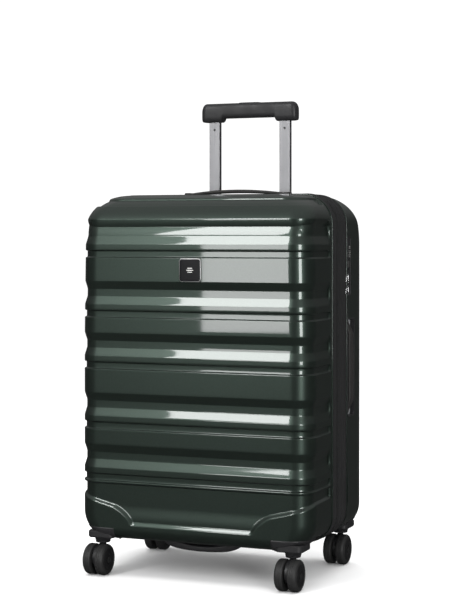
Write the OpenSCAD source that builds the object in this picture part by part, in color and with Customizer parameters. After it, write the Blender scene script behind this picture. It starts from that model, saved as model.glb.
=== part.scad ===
// Hard shell suitcase: two ribbed shells joined by a zipped band, on four twin-wheel casters,
// with a two-stage telescopic handle, a carry handle, a side handle and a combination lock.
// Millimetres. X runs across the width, -Y is the front, +Z is up. The origin is on the floor,
// under the middle of the space that the standing case takes, its casters included.

/* [Case] */
// Width across the two sides
case_w = 444; // [380:2:534]
// Depth from the front face to the rear face
case_d = 304; // [290:2:366]
// Height of the shells' top above the floor
case_top = 682; // [580:2:820]
// Height of the shells' underside above the floor
case_bottom = 66; // [66:1:80]
// Depth of the front shell, from its face to its rim
front_shell_d = 117; // [100:1:120]
// Depth of the fabric band between the shells
band_d = 71; // [60:1:86]
// Thickness of the shell walls
shell_wall = 2.2; // [1.8:0.1:3]

/* [Shell corners] */
// Radius of the upper corners, seen from the front
top_corner_r = 55; // [40:1:60]
// Radius of the lower corners, seen from the front
bottom_corner_r = 48; // [36:1:50]
// Radius of the upright corners, seen from above
upright_r = 36; // [30:1:40]
// Radius of the front shell's upper edge, seen from the side
front_dome_r = 75; // [50:1:90]
// Radius of the rear shell's upper edge, seen from the side
rear_dome_r = 90; // [60:1:96]
// Radius of the lower edges, seen from the side
bottom_edge_r = 20; // [14:1:26]

/* [Ribs] */
// Height of the lowest groove's top above the shells' underside
rib_start = 116.5; // [110:0.5:140]
// Flat between two ribs, narrow rows
flat_small = 27.5; // [20:0.5:34]
// Flat between two ribs, wide rows
flat_big = 42.5; // [40:0.5:52]
// Depth of the wide recesses
rib_depth = 4.5; // [2:0.25:5]
// Depth of the narrow grooves
groove_depth = 3.5; // [1.5:0.25:4]

/* [Casters] */
// Distance between the left and right swivel axes
caster_span_x = 366; // [300:2:372]
// Distance between the front and rear swivel axes
caster_span_y = 255; // [230:1:260]
// Diameter of a wheel
wheel_dia = 55; // [46:1:56]
// Width of one wheel
wheel_w = 17; // [14:0.5:20]
// Distance from the swivel axis back to the axle
trail = 18; // [14:1:22]
// Diameter of the swivel stem
stem_dia = 10; // [8:0.5:12]
// Diameter of the axle
axle_dia = 6; // [5:0.5:8]

/* [Telescopic handle] */
// Distance between the two tubes
tube_pitch = 144; // [120:1:173]
// Width of an inner tube
inner_tube_w = 21.2; // [18:0.2:22]
// Depth of an inner tube
inner_tube_d = 9.6; // [8:0.2:10]
// Wall of every tube
tube_wall = 1.1; // [0.8:0.1:1.2]
// Height of the grip above its stowed place, as it stands at rest
grip_raise = 190; // [160:1:216]
// Travel of the middle tubes
middle_travel = 190; // [160:1:220]
// Height of the grip at its ends
grip_h = 36.5; // [32:0.5:40]
// Depth of the grip
grip_d = 26; // [22:1:28]

/* [Lock and side handle] */
// Height of the lock above the floor, at its middle
lock_z = 553; // [480:1:560]
// Length of the lock
lock_h = 108; // [100:1:120]
// Height of the side handle above the floor, at its middle
side_handle_z = 369; // [340:1:380]
// Length of the side handle's cup
side_cup_h = 178; // [150:1:190]

/* [Carry handle] */
// Length of the carry handle between its end mounts' middles
carry_pitch = 200; // [170:1:230]
// Height of the arched carry handle above the shells' top
carry_rise = 13; // [10:0.5:16]

/* [Hidden] */
$fn = 64;

// Zip
zip_half_d = 4;
zip_gap = 0.15;
zip_proud = 0.9;
band_proud = 1.6;
band_wall = 3;
hinge_tape_margin = 58;

// Places along the depth, measured from the case's own middle
front_y = -case_d / 2;
rear_y = case_d / 2;
rim_y = front_y + front_shell_d;
zip_y = rim_y + band_d + zip_half_d;
rear_rim_y = zip_y + zip_half_d;
side_x = case_w / 2;

// The whole standing case is centred on the origin, so the case shifts back by half of what
// the front wheels reach past the front face
wheel_reach = caster_span_y / 2 + trail + wheel_dia / 2;
case_shift_y = (wheel_reach - case_d / 2) / 2;

// Bottom flare of the rear shell
flare = 3;
flare_top = 120;
flare_bottom = 34;

// Caster fits
running = 0.05;
wheel_gap = 9;
fork_blade_w = 8;
plate_margin = 1.2;
plate_inner = 33;
plate_z = case_bottom + 2;
plate_top = case_bottom + 14;
boss_r = 13;
boss_top = case_bottom + 24;
collar_r = 18;
collar_low_r = 13;
collar_h = 9;
stem_top = boss_top - 2;
axle_z = wheel_dia / 2;
axle_head_r = 5.5;
axle_head_h = 1.2;
dish_r = 7;
dish_d = 2;
screw_off = 16;
screw_r = 1.9;
screw_head_r = 3.4;

// Telescopic handle
slide_clear = 0.4;
middle_tube_w = inner_tube_w + 2 * slide_clear + 2 * tube_wall;
middle_tube_d = inner_tube_d + 2 * slide_clear + 2 * tube_wall;
outer_tube_w = middle_tube_w + 2 * slide_clear + 2 * tube_wall;
outer_tube_d = middle_tube_d + 2 * slide_clear + 2 * tube_wall;
tube_y = rear_y - rib_depth - shell_wall - outer_tube_d / 2 - 6.5;
bezel_floor = case_top - 56;
bezel_floor_h = 4;
bezel_wall = 3;
bezel_w = tube_pitch + 64;
bezel_front_y = tube_y - grip_d / 2 - 3.5;
bezel_back_y = rear_y - 3;
collar_top = bezel_floor + bezel_floor_h + 5.6;
foot_z = case_bottom + 14;
foot_h = 12;
grip_w = tube_pitch + 49.5;
grip_stowed = collar_top + 0.6;
grip_z = grip_stowed + grip_raise;
grip_bar_lift = 7.5;
grip_end_w = 34;
inner_top = grip_z + 22;
inner_bottom = inner_top - grip_raise - 89;
middle_top = bezel_floor + bezel_floor_h + 0.2;
middle_bottom = middle_top - middle_travel - 71;
button_w = 40;
button_d = 12;
button_h = 9;
button_travel = 4;
button_proud = 1.2;

// Lining
lining_gap = 7.5;
lining_wall = 1;
lining_back_y = tube_y - outer_tube_d / 2 - 2;

// Lock, sliders and tabs
lock_w = 22;
lock_y = rear_rim_y + 2 + lock_w / 2;
lock_depth = 12;
lock_face = 0.2;
dial_r = 5;
dial_h = 5.4;
dial_pitch = 7.8;
dial_z = lock_z + 26.5;
dial_y = lock_y + 5;
dial_out = 1.6;
key_r = 4.5;
key_depth = 8;
key_down = 45;
tab_len = 13.4;
tab_y = zip_y + 4.6;
tab_w = 18;
tab_t = 1.6;
slider_z = [lock_z - 23, lock_z - 44];

// Bottom grip
grip_chord = 157;
grip_sag = 20;
grip_gap_chord = 110;
grip_gap_sag = 9;

// Side handle
cup_depth = 14;
cup_w = 40;
cup_wall = 2;
cup_y = rear_rim_y + 6 + cup_w / 2;
side_grip_t = 6;
side_grip_w = 22;

// Carry handle
carry_y = rear_rim_y + 24;
carry_w = 25;
carry_t = 4.2;
carry_end = carry_pitch / 2 + 6;
carry_lift = 0.4;
arch_sag = carry_rise - carry_t - carry_lift;
arch_r = (carry_end * carry_end + arch_sag * arch_sag) / (2 * arch_sag);
carry_mid_t = 7;
under_sag = carry_rise - carry_mid_t - carry_lift;
under_r = (carry_end * carry_end + under_sag * under_sag) / (2 * under_sag);
leg_w = 12;
leg_d = 16;
leg_len = 32;
socket_wall = 2.4;
socket_clear = 0.4;
// How far the rounded top has fallen at the sockets' far side
socket_past = max(0, carry_y + leg_d / 2 + socket_clear + socket_wall - rear_y + rear_dome_r);
socket_drop = rear_dome_r - sqrt(rear_dome_r * rear_dome_r - socket_past * socket_past);
socket_top = case_top - socket_drop - 1.6;

// ---- shared outlines ----

// Height of the top of groove number i above the floor: rows are narrow and wide in turn
row_rest = 65;
function groove_top(i) = case_bottom + rib_start + floor((i + 1) / 2) * (row_rest + flat_small)
    + floor(i / 2) * (row_rest + flat_big);

// Puts a piece that is placed from the case's middle into the part's frame
module in_case() {
    translate([0, case_shift_y, 0]) children();
}

// Extrudes an XZ outline along Y, from y0 to y1
module along_y(y0, y1) {
    translate([0, y1, 0]) rotate([90, 0, 0]) linear_extrude(y1 - y0) children();
}

// Extrudes a YZ outline along X, from x0 to x1
module along_x(x0, x1) {
    translate([x0, 0, 0]) rotate([90, 0, 90]) linear_extrude(x1 - x0) children();
}

// Rectangle with rounded lower and upper corners
module rounded_panel(x0, x1, z0, z1, r_low, r_high) {
    r_big = max(r_low, r_high);
    translate([x0, z0 + r_low]) square([x1 - x0, z1 - z0 - r_low - r_high]);
    translate([x0 + r_big, z0]) square([x1 - x0 - 2 * r_big, z1 - z0]);
    translate([x0 + r_low, z0]) square([x1 - x0 - 2 * r_low, r_big + 1]);
    translate([x0 + r_high, z1 - r_big - 1]) square([x1 - x0 - 2 * r_high, r_big + 1]);
    for (x = [x0 + r_low, x1 - r_low]) translate([x, z0 + r_low]) circle(r_low);
    for (x = [x0 + r_high, x1 - r_high]) translate([x, z1 - r_high]) circle(r_high);
}

// Rectangle rounded only on its low-x side
module rounded_end(x0, x1, z0, z1, r_low, r_high) {
    intersection() {
        rounded_panel(x0, 2 * x1 - x0 + 200, z0, z1, r_low, r_high);
        translate([x0 - 1, z0 - 1]) square([x1 - x0 + 1, z1 - z0 + 2]);
    }
}

// The case seen from the front, shrunk by g
module case_outline(g) {
    rounded_panel(-side_x + g, side_x - g, case_bottom + g, case_top - g,
                  bottom_corner_r - g, top_corner_r - g);
}

// A ring along the case's outline, from g0 (outside) to g1 (inside)
module ring(y0, y1, g0, g1) {
    difference() {
        along_y(y0, y1) case_outline(g0);
        along_y(y0 - 1, y1 + 1) case_outline(g1);
    }
}

// The horizontal grooves and recesses, cut into a face at x = 0 that faces -x
module rib_cuts() {
    rows = 1 + floor((case_top - front_dome_r - case_bottom - rib_start) / (row_rest + 35));
    for (i = [0:rows - 1]) {
        z = groove_top(i);
        polygon([[-9, z - 13], [0, z - 13], [groove_depth, z - 12], [groove_depth, z - 1],
                 [0, z], [-9, z]]);
        polygon([[-9, z + 10.5], [0, z + 10.5], [rib_depth, z + 25], [rib_depth, z + 38],
                 [0, z + 52], [-9, z + 52]]);
    }
}

// Solid half of the case shrunk by g: depth d from its face to its rim, face towards -y.
// ribbed says whether the face has its grooves, and past is how far it runs beyond the rim
module half_block(d, dome_r, g, ribbed, past) {
    y1 = front_y + d + past;
    intersection() {
        along_y(front_y + g, y1) case_outline(g);
        along_x(-side_x - 9, side_x + 9) difference() {
            rounded_end(front_y + g, y1, case_bottom + g, case_top - g,
                        bottom_edge_r - g, dome_r - g);
            if (ribbed) translate([front_y + g, 0]) rib_cuts();
        }
        linear_extrude(case_top + 9)
            rounded_plan(front_y + g, y1, side_x - g, upright_r - g);
    }
}

// The half seen from above: rounded at the face
module rounded_plan(y0, y1, half_w, r) {
    translate([-half_w, y0 + r]) square([2 * half_w, y1 - y0 - r]);
    translate([-half_w + r, y0]) square([2 * half_w - 2 * r, r + 1]);
    for (x = [-half_w + r, half_w - r]) translate([x, y0 + r]) circle(r);
}

module front_block(g, ribbed, past) {
    half_block(front_shell_d, front_dome_r, g, ribbed, past);
}

module rear_block(g, ribbed, past) {
    mirror([0, 1, 0]) half_block(rear_y - rear_rim_y, rear_dome_r, g, ribbed, past);
}

// Block that a caster's housing plate fills in a lower corner, grown by grow
module corner_space(sx, sy, grow) {
    x0 = caster_span_x / 2 - plate_inner - grow;
    y0 = caster_span_y / 2 - plate_inner - grow;
    scale_x = sx < 0 ? 1 : 0;
    scale_y = sy < 0 ? 1 : 0;
    mirror([scale_x, 0, 0]) mirror([0, scale_y, 0])
        translate([x0, y0, case_bottom - 5]) cube([150, 150, plate_top - case_bottom + 5 + grow]);
}

module at_caster(sx, sy) {
    translate([sx * caster_span_x / 2, sy * caster_span_y / 2, 0]) children();
}

// ---- shells ----

module front_shell() {
    color("darkslategray") in_case() difference() {
        front_block(0, true, 0);
        front_block(shell_wall, true, 9);
        for (sx = [-1, 1]) corner_space(sx, -1, 0);
    }
}

module rear_shell() {
    color("darkslategray") in_case() difference() {
        union() {
            rear_block(0, true, 0);
            for (side = [0, 1]) mirror([side, 0, 0]) rear_flare();
        }
        rear_block(shell_wall, true, 9);
        for (sx = [-1, 1]) corner_space(sx, 1, 0);
        bezel_space(0);
        lock_space(0);
        cup_space(0);
        for (sx = [-1, 1]) socket_space(sx, -0.05, case_top - 40, case_top + 9);
    }
}

// Widening of the rear shell's side near its foot
module rear_flare() {
    z0 = case_bottom + flare_bottom;
    z1 = case_bottom + flare_top;
    along_y(rear_rim_y, rear_y - upright_r) polygon([[side_x - 1, z0 + 14], [side_x, z0 + 14],
        [side_x + flare, z0 + 24], [side_x + flare, z1 - 16], [side_x, z1], [side_x - 1, z1]]);
}

module gusset_band() {
    color([0.1, 0.1, 0.1]) in_case() ring(rim_y, zip_y - zip_half_d, -band_proud,
                                         band_wall - band_proud);
}

module expansion_zip() {
    y = rim_y + band_d * 0.36;
    color([0.16, 0.16, 0.16]) in_case() ring(y - zip_half_d, y + zip_half_d,
                                            -band_proud - zip_proud, -band_proud);
}

// Space along the left side where the fabric hinge takes the zip's place
module hinge_window(grow) {
    z0 = case_bottom + hinge_tape_margin - grow;
    translate([-side_x - 9, zip_y - 20, z0])
        cube([30, 40, case_top - case_bottom - 2 * hinge_tape_margin + 2 * grow]);
}

module main_zip_front() {
    color([0.12, 0.12, 0.12]) in_case() difference() {
        ring(zip_y - zip_half_d, zip_y - zip_gap, -zip_proud, band_wall - band_proud);
        hinge_window(0);
    }
}

module main_zip_rear() {
    color([0.12, 0.12, 0.12]) in_case() difference() {
        ring(zip_y + zip_gap, rear_rim_y, -zip_proud, shell_wall);
        hinge_window(0);
    }
}

module hinge_tape() {
    z0 = case_bottom + hinge_tape_margin + 0.5;
    color([0.1, 0.1, 0.1]) in_case() translate([-side_x, zip_y - zip_half_d + 0.4, z0])
        cube([1.2, 2 * zip_half_d - 0.4, case_top - case_bottom - 2 * hinge_tape_margin - 1]);
}

module badge_plate() {
    z = groove_top(3) + 52 + 21;
    size = 41.5;
    r = 4;
    color("silver") in_case() along_y(front_y - 1.2, front_y)
        rounded_panel(-size / 2, size / 2, z - size / 2, z + size / 2, r, r);
}

// Radius of an arc of a given chord and height
function arc_r(chord, sag) = (chord * chord / 4 + sag * sag) / (2 * sag);

// Curved bar under the front shell, with room for fingers above its middle
module bottom_grip() {
    r_low = arc_r(grip_chord, grip_sag);
    r_gap = arc_r(grip_gap_chord, grip_gap_sag);
    y = front_y + 58;
    color([0.1, 0.1, 0.1]) in_case() along_y(y - 13, y + 13) intersection() {
        difference() {
            translate([0, case_bottom - grip_sag + r_low]) circle(r_low, $fn = 180);
            translate([0, case_bottom - grip_gap_sag + r_gap]) circle(r_gap, $fn = 180);
        }
        translate([-grip_chord / 2, case_bottom - grip_sag - 5]) square([grip_chord, grip_sag + 5]);
    }
}

// ---- linings and straps ----

module front_lining() {
    color([0.35, 0.36, 0.38]) in_case() difference() {
        front_block(lining_gap, false, -1);
        front_block(lining_gap + lining_wall, false, 9);
        for (sx = [-1, 1]) lining_relief(sx, -1);
    }
}

module lining_relief(sx, sy) {
    at_caster(sx, sy) cylinder(r = 45, h = boss_top + 6);
    corner_space(sx, sy, 1);
}

module rear_lining() {
    color([0.35, 0.36, 0.38]) in_case() difference() {
        intersection() {
            rear_block(lining_gap, false, -1);
            translate([-side_x, 0, 0]) cube([case_w, lining_back_y, case_top]);
        }
        intersection() {
            rear_block(lining_gap + lining_wall, false, 9);
            translate([-side_x, -9, 0]) cube([case_w, lining_back_y - lining_wall + 9, case_top]);
        }
        for (sx = [-1, 1]) lining_relief(sx, 1);
        bezel_space(3);
        lock_space(3);
        cup_space(3);
        for (sx = [-1, 1]) socket_space(sx, -3, case_top - 45, case_top + 9);
    }
}

// Two crossing straps that lie flat on the rear lining
module cross_straps() {
    len = 2 * (side_x - 60);
    strap_w = 25;
    mid_z = (case_top + case_bottom) / 2 - 20;
    color([0.12, 0.12, 0.13]) in_case() difference() {
        translate([0, lining_back_y - lining_wall - 0.3, mid_z]) rotate([90, 0, 0])
            linear_extrude(1.4) {
                for (a = [-32, 32]) rotate(a) translate([-len / 2, -strap_w / 2])
                    square([len, strap_w]);
            }
        strap_buckle_block(0.3);
    }
}

module strap_buckle_block(grow) {
    mid_z = (case_top + case_bottom) / 2 - 20;
    translate([-30 - grow, lining_back_y - lining_wall - 8, mid_z - 26 - grow])
        cube([60 + 2 * grow, 8, 52 + 2 * grow]);
}

module strap_buckle() {
    mid_z = (case_top + case_bottom) / 2 - 20;
    color([0.08, 0.08, 0.08]) in_case() along_y(lining_back_y - lining_wall - 7.7,
                                               lining_back_y - lining_wall - 0.3)
        rounded_panel(-30, 30, mid_z - 26, mid_z + 26, 8, 8);
}

// ---- zip sliders and pull tabs ----

module zip_slider(z) {
    x = side_x + zip_proud + 0.15;
    color([0.55, 0.55, 0.53]) in_case() translate([x, zip_y - 3.6, z - 6]) cube([1.5, 7, 12]);
}

module zip_tab(z) {
    x = side_x + 0.5;
    color([0.7, 0.7, 0.68]) in_case() along_x(x, x + tab_t) difference() {
        rounded_panel(tab_y, tab_y + tab_len, z - tab_w / 2, z + tab_w / 2, 3, 3);
        rounded_panel(tab_y + 5, tab_y + tab_len - 3, z - 2.6, z + 2.6, 2, 2);
    }
}

module zip_slider_upper() { zip_slider(slider_z[0]); }
module zip_slider_lower() { zip_slider(slider_z[1]); }
module zip_tab_upper() { zip_tab(slider_z[0]); }
module zip_tab_lower() { zip_tab(slider_z[1]); }

// ---- combination lock ----

module lock_space(grow) {
    translate([side_x - lock_depth - grow, lock_y - lock_w / 2 - grow, lock_z - lock_h / 2 - grow])
        cube([lock_depth + 9 + grow, lock_w + 2 * grow, lock_h + 2 * grow]);
}

module lock_case() {
    color([0.09, 0.09, 0.09]) in_case() difference() {
        along_x(side_x - lock_depth, side_x + lock_face)
            rounded_panel(lock_y - lock_w / 2 + 0.1, lock_y + lock_w / 2 - 0.1,
                          lock_z - lock_h / 2 + 0.1, lock_z + lock_h / 2 - 0.1, 3, 3);
        for (i = [-1:1]) translate([side_x + dial_out - dial_r, dial_y, dial_z + i * dial_pitch])
            cylinder(r = dial_r + 0.4, h = dial_h + 0.8, center = true);
        translate([side_x - 3, lock_y - 4, lock_z - 6.5]) cube([9, 8, 17]);
        translate([side_x - key_depth - 0.2, lock_y, lock_z - key_down]) rotate([0, 90, 0])
            cylinder(r = key_r + running, h = 20);
    }
}

module lock_dial(i) {
    color([0.75, 0.75, 0.72]) in_case()
        translate([side_x + dial_out - dial_r, dial_y, dial_z + i * dial_pitch])
            cylinder(r = dial_r, h = dial_h, center = true);
}

module lock_dial_1() { lock_dial(1); }
module lock_dial_2() { lock_dial(0); }
module lock_dial_3() { lock_dial(-1); }

module lock_button() {
    color([0.6, 0.6, 0.58]) in_case() translate([side_x - 2.8, lock_y - 3.7, lock_z - 2.2])
        cube([3.1, 7.4, 12.4]);
}

module lock_cylinder() {
    color([0.65, 0.62, 0.5]) in_case() translate([side_x - key_depth, lock_y, lock_z - key_down])
        rotate([0, 90, 0]) difference() {
            cylinder(r = key_r, h = key_depth + 0.1);
            translate([-0.6, -2.4, key_depth - 3]) cube([1.2, 4.8, 9]);
        }
}

// ---- side handle ----

module cup_space(grow) {
    translate([side_x - cup_depth - grow, cup_y - cup_w / 2 - grow,
               side_handle_z - side_cup_h / 2 - grow])
        cube([cup_depth + 9 + grow, cup_w + 2 * grow, side_cup_h + 2 * grow]);
}

module side_handle_cup() {
    w = cup_w / 2 - 0.1;
    h = side_cup_h / 2 - 0.1;
    color([0.1, 0.1, 0.1]) in_case() difference() {
        along_x(side_x - cup_depth, side_x + 0.2)
            rounded_panel(cup_y - w, cup_y + w, side_handle_z - h, side_handle_z + h, 6, 6);
        along_x(side_x - cup_depth + cup_wall, side_x + 9)
            rounded_panel(cup_y - w + cup_wall, cup_y + w - cup_wall,
                          side_handle_z - h + cup_wall, side_handle_z + h - cup_wall, 4, 4);
    }
}

// Bar with two feet that reach down into the cup
module side_handle() {
    h = side_cup_h / 2 - cup_wall - 1;
    x1 = side_x + 2.6;
    foot = 16;
    color([0.13, 0.13, 0.13]) in_case() difference() {
        along_x(side_x - cup_depth + cup_wall + 0.5, x1)
            rounded_panel(cup_y - side_grip_w / 2, cup_y + side_grip_w / 2,
                          side_handle_z - h, side_handle_z + h, 8, 8);
        translate([side_x - cup_depth - 1, cup_y - 40, side_handle_z - h + foot])
            cube([x1 - side_grip_t - side_x + cup_depth + 1, 80, 2 * (h - foot)]);
    }
}

// ---- carry handle ----

// Arched bar on two legs that slide in sockets let into the shell
module carry_handle() {
    top = case_top + carry_rise;
    color([0.12, 0.12, 0.12]) in_case() {
        along_y(carry_y - carry_w / 2, carry_y + carry_w / 2) intersection() {
            difference() {
                translate([0, top - arch_r]) circle(arch_r, $fn = 256);
                translate([0, top - carry_mid_t - under_r]) circle(under_r, $fn = 256);
            }
            translate([-carry_end, case_top]) square([2 * carry_end, carry_rise + 9]);
        }
        for (sx = [-1, 1]) translate([sx * carry_pitch / 2 - leg_w / 2, carry_y - leg_d / 2,
                                      case_top + 2 - leg_len]) cube([leg_w, leg_d, leg_len]);
    }
}

// Space of a socket, g smaller than its outside
module socket_space(sx, g, z0, z1) {
    w = leg_w + 2 * (socket_clear + socket_wall - g);
    d = leg_d + 2 * (socket_clear + socket_wall - g);
    translate([sx * carry_pitch / 2 - w / 2, carry_y - d / 2, z0]) cube([w, d, z1 - z0]);
}

module carry_handle_mounts() {
    bottom = case_top - leg_len - 1;
    color([0.09, 0.09, 0.09]) in_case() for (sx = [-1, 1]) difference() {
        socket_space(sx, 0, bottom, socket_top);
        socket_space(sx, socket_wall, bottom + 2, case_top);
    }
}

// ---- telescopic handle ----

module bezel_space(grow) {
    translate([-bezel_w / 2 - grow, bezel_front_y - bezel_wall - grow, bezel_floor - grow])
        cube([bezel_w + 2 * grow, 90, 90]);
}

module tube_slots(w, d, z0, z1) {
    for (sx = [-1, 1]) translate([sx * tube_pitch / 2 - w / 2, tube_y - d / 2, z0])
        cube([w, d, z1 - z0]);
}

// Recess that takes the stowed grip, let into the rear shell's upper edge
module trolley_bezel() {
    color([0.09, 0.09, 0.09]) in_case() difference() {
        intersection() {
            rear_block(0, false, 0);
            bezel_space(-0.15);
        }
        translate([-grip_w / 2 - 2, bezel_front_y, bezel_floor + bezel_floor_h])
            cube([grip_w + 4, 90, 90]);
        tube_slots(middle_tube_w + 2 * slide_clear, middle_tube_d + 2 * slide_clear,
                   bezel_floor - 9, case_top);
    }
}

// One pair of rectangular tubes
module tubes(w, d, z0, z1) {
    difference() {
        tube_slots(w, d, z0, z1);
        tube_slots(w - 2 * tube_wall, d - 2 * tube_wall, z0 - 1, z1 + 1);
    }
}

module outer_tubes() {
    color([0.5, 0.5, 0.52]) in_case() tubes(outer_tube_w, outer_tube_d, foot_z + 3, bezel_floor);
}

module middle_tubes() {
    color([0.68, 0.69, 0.7]) in_case() tubes(middle_tube_w, middle_tube_d, middle_bottom,
                                            middle_top);
}

module middle_tube_collars() {
    clear = 2 * slide_clear;
    color([0.1, 0.1, 0.1]) in_case() difference() {
        tube_slots(middle_tube_w + 1.6, middle_tube_d + 1.6, middle_top, collar_top);
        tube_slots(inner_tube_w + clear, inner_tube_d + clear, middle_top - 1, collar_top + 1);
    }
}

module inner_tubes() {
    color("silver") in_case() tubes(inner_tube_w, inner_tube_d, inner_bottom, inner_top);
}

module push_rods() {
    color([0.45, 0.45, 0.46]) in_case() for (sx = [-1, 1])
        translate([sx * tube_pitch / 2, tube_y, inner_bottom + 12])
            cylinder(r = 2, h = inner_top - inner_bottom - 12);
}

module trolley_foot() {
    w = tube_pitch + outer_tube_w + 12;
    color([0.09, 0.09, 0.09]) in_case() difference() {
        translate([-w / 2, tube_y - outer_tube_d / 2 - 2, foot_z]) cube([w, outer_tube_d + 3, foot_h]);
        tube_slots(outer_tube_w, outer_tube_d, foot_z + 3, foot_z + 99);
    }
}

// Outline of the grip seen from the front: a bar with deeper, rounded ends
module grip_outline() {
    top = grip_z + grip_h;
    bar_z = grip_z + grip_bar_lift;
    intersection() {
        rounded_panel(-grip_w / 2, grip_w / 2, grip_z, top, 6, 15);
        union() {
            translate([-grip_w / 2, bar_z]) square([grip_w, grip_h]);
            for (side = [0, 1]) mirror([side, 0]) translate([tube_pitch / 2 - grip_end_w / 2, grip_z])
                rounded_panel(0, grip_end_w + 9, 0, grip_h, 4, 4);
        }
    }
}

module grip_body(y0, y1) {
    difference() {
        along_y(y0, y1) grip_outline();
        tube_slots(inner_tube_w, inner_tube_d, grip_z - 1, inner_top);
        translate([-button_w / 2 - 0.3, tube_y - button_d / 2 - 0.3,
                   grip_z + grip_h - button_h - button_travel - 1]) cube([button_w + 0.6,
                   button_d + 0.6, 60]);
        translate([0, tube_y, grip_z + grip_h - button_h - button_travel - 9])
            cylinder(r = 3.2, h = 12);
    }
}

module grip_front() {
    color([0.2, 0.2, 0.2]) in_case() grip_body(tube_y - grip_d / 2, tube_y);
}

module grip_rear() {
    color([0.2, 0.2, 0.2]) in_case() grip_body(tube_y, tube_y + grip_d / 2);
}

module grip_button() {
    z0 = grip_z + grip_h + button_proud - button_h;
    color([0.28, 0.28, 0.28]) in_case() translate([-button_w / 2, tube_y - button_d / 2, z0])
        cube([button_w, button_d, button_h]);
}

// Close-wound stand-in for the coil spring under the button
module grip_spring() {
    z0 = grip_z + grip_h - button_h - button_travel - 9;
    z1 = grip_z + grip_h + button_proud - button_h;
    color([0.6, 0.6, 0.6]) in_case() translate([0, tube_y, z0]) difference() {
        cylinder(r = 2.9, h = z1 - z0);
        translate([0, 0, -1]) cylinder(r = 2.1, h = z1 - z0 + 2);
    }
}

// ---- casters ----

// Housing plate that fills a lower corner, with the swivel's bore
module caster_plate(sx, sy) {
    color([0.08, 0.08, 0.08]) in_case() difference() {
        union() {
            intersection() {
                corner_space(sx, sy, -0.15);
                if (sy < 0) front_block(plate_margin, false, 0);
                else rear_block(plate_margin, false, 0);
                translate([-side_x, front_y, plate_z]) cube([case_w, case_d, plate_top]);
            }
            at_caster(sx, sy) translate([0, 0, plate_z - 1]) cylinder(r = boss_r,
                                                                    h = boss_top - plate_z + 1);
            at_caster(sx, sy) translate([0, 0, plate_z - collar_h])
                cylinder(r1 = collar_low_r, r2 = collar_r, h = collar_h + 1);
        }
        at_caster(sx, sy) translate([0, 0, plate_z - collar_h - 1])
            cylinder(r = stem_dia / 2 + running, h = boss_top);
        caster_screws(sx, sy);
    }
}

module caster_screws(sx, sy) {
    at_caster(sx, sy) for (dx = [-1, 1]) for (dy = [-1, 1])
        translate([dx * screw_off, dy * screw_off, plate_z - 1.4]) {
            cylinder(r = screw_r, h = 10);
            cylinder(r = screw_head_r, h = 1.4);
        }
}

// Swivel fork: stem, neck and the blade that holds the axle between the wheels
module caster_fork(sx, sy) {
    neck_top = plate_z - collar_h - 0.4;
    neck_low = wheel_dia + 0.6;
    blade_top = wheel_dia - 3;
    color([0.1, 0.1, 0.1]) in_case() at_caster(sx, sy) difference() {
        union() {
            translate([0, 0, neck_low]) cylinder(r = stem_dia / 2, h = stem_top - neck_low);
            translate([0, 0, neck_low]) cylinder(r = 9, h = neck_top - neck_low);
            along_x(-fork_blade_w / 2, fork_blade_w / 2) {
                translate([-trail, axle_z]) circle(r = 13);
                polygon([[-trail - 13, axle_z], [-trail - 9, blade_top], [-8, neck_low + 1],
                         [8, neck_low + 1], [9, blade_top - 8], [-trail + 12.9, axle_z - 1]]);
            }
        }
        translate([-9, -trail, axle_z]) rotate([0, 90, 0]) cylinder(r = axle_dia / 2, h = 18);
    }
}

module caster_axle(sx, sy) {
    half = wheel_gap / 2 + wheel_w - dish_d;
    color([0.6, 0.6, 0.6]) in_case() at_caster(sx, sy)
        translate([0, -trail, axle_z]) rotate([0, 90, 0]) {
            translate([0, 0, -half - 0.2]) cylinder(r = axle_dia / 2, h = 2 * half + 0.4);
            for (z = [-half - 0.2 - axle_head_h, half + 0.2]) translate([0, 0, z])
                cylinder(r = axle_head_r, h = axle_head_h);
        }
}

// One wheel: side is -1 for the left wheel of the pair and 1 for the right one
module caster_wheel(sx, sy, side) {
    r = wheel_dia / 2;
    edge = 5;
    turn = side < 0 ? 180 : 0;
    color([0.07, 0.07, 0.07]) in_case() at_caster(sx, sy) translate([0, -trail, axle_z])
        rotate([0, 0, turn]) rotate([0, 90, 0]) translate([0, 0, wheel_gap / 2]) difference() {
            rotate_extrude() {
                square([r, wheel_w - edge]);
                square([r - edge, wheel_w]);
                translate([r - edge, wheel_w - edge]) circle(edge);
            }
            translate([0, 0, -1]) cylinder(r = axle_dia / 2 + running, h = wheel_w + 2);
            translate([0, 0, wheel_w - dish_d]) cylinder(r = dish_r, h = 9);
        }
}

module housing_screws(sy) {
    color([0.5, 0.5, 0.5]) in_case() for (sx = [-1, 1]) caster_screws(sx, sy);
}

front_shell();
rear_shell();
gusset_band();
expansion_zip();
main_zip_front();
main_zip_rear();
hinge_tape();
badge_plate();
bottom_grip();
front_lining();
rear_lining();
cross_straps();
strap_buckle();
zip_slider_upper();
zip_slider_lower();
zip_tab_upper();
zip_tab_lower();
lock_case();
lock_dial_1();
lock_dial_2();
lock_dial_3();
lock_button();
lock_cylinder();
side_handle();
side_handle_cup();
carry_handle();
carry_handle_mounts();
trolley_bezel();
trolley_foot();
outer_tubes();
middle_tubes();
middle_tube_collars();
inner_tubes();
push_rods();
grip_front();
grip_rear();
grip_button();
grip_spring();
caster_plate(-1, -1);  // plate_front_left
caster_plate(1, -1);  // plate_front_right
caster_plate(-1, 1);  // plate_rear_left
caster_plate(1, 1);  // plate_rear_right
caster_fork(-1, -1);  // fork_front_left
caster_fork(1, -1);  // fork_front_right
caster_fork(-1, 1);  // fork_rear_left
caster_fork(1, 1);  // fork_rear_right
caster_axle(-1, -1);  // axle_front_left
caster_axle(1, -1);  // axle_front_right
caster_axle(-1, 1);  // axle_rear_left
caster_axle(1, 1);  // axle_rear_right
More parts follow.
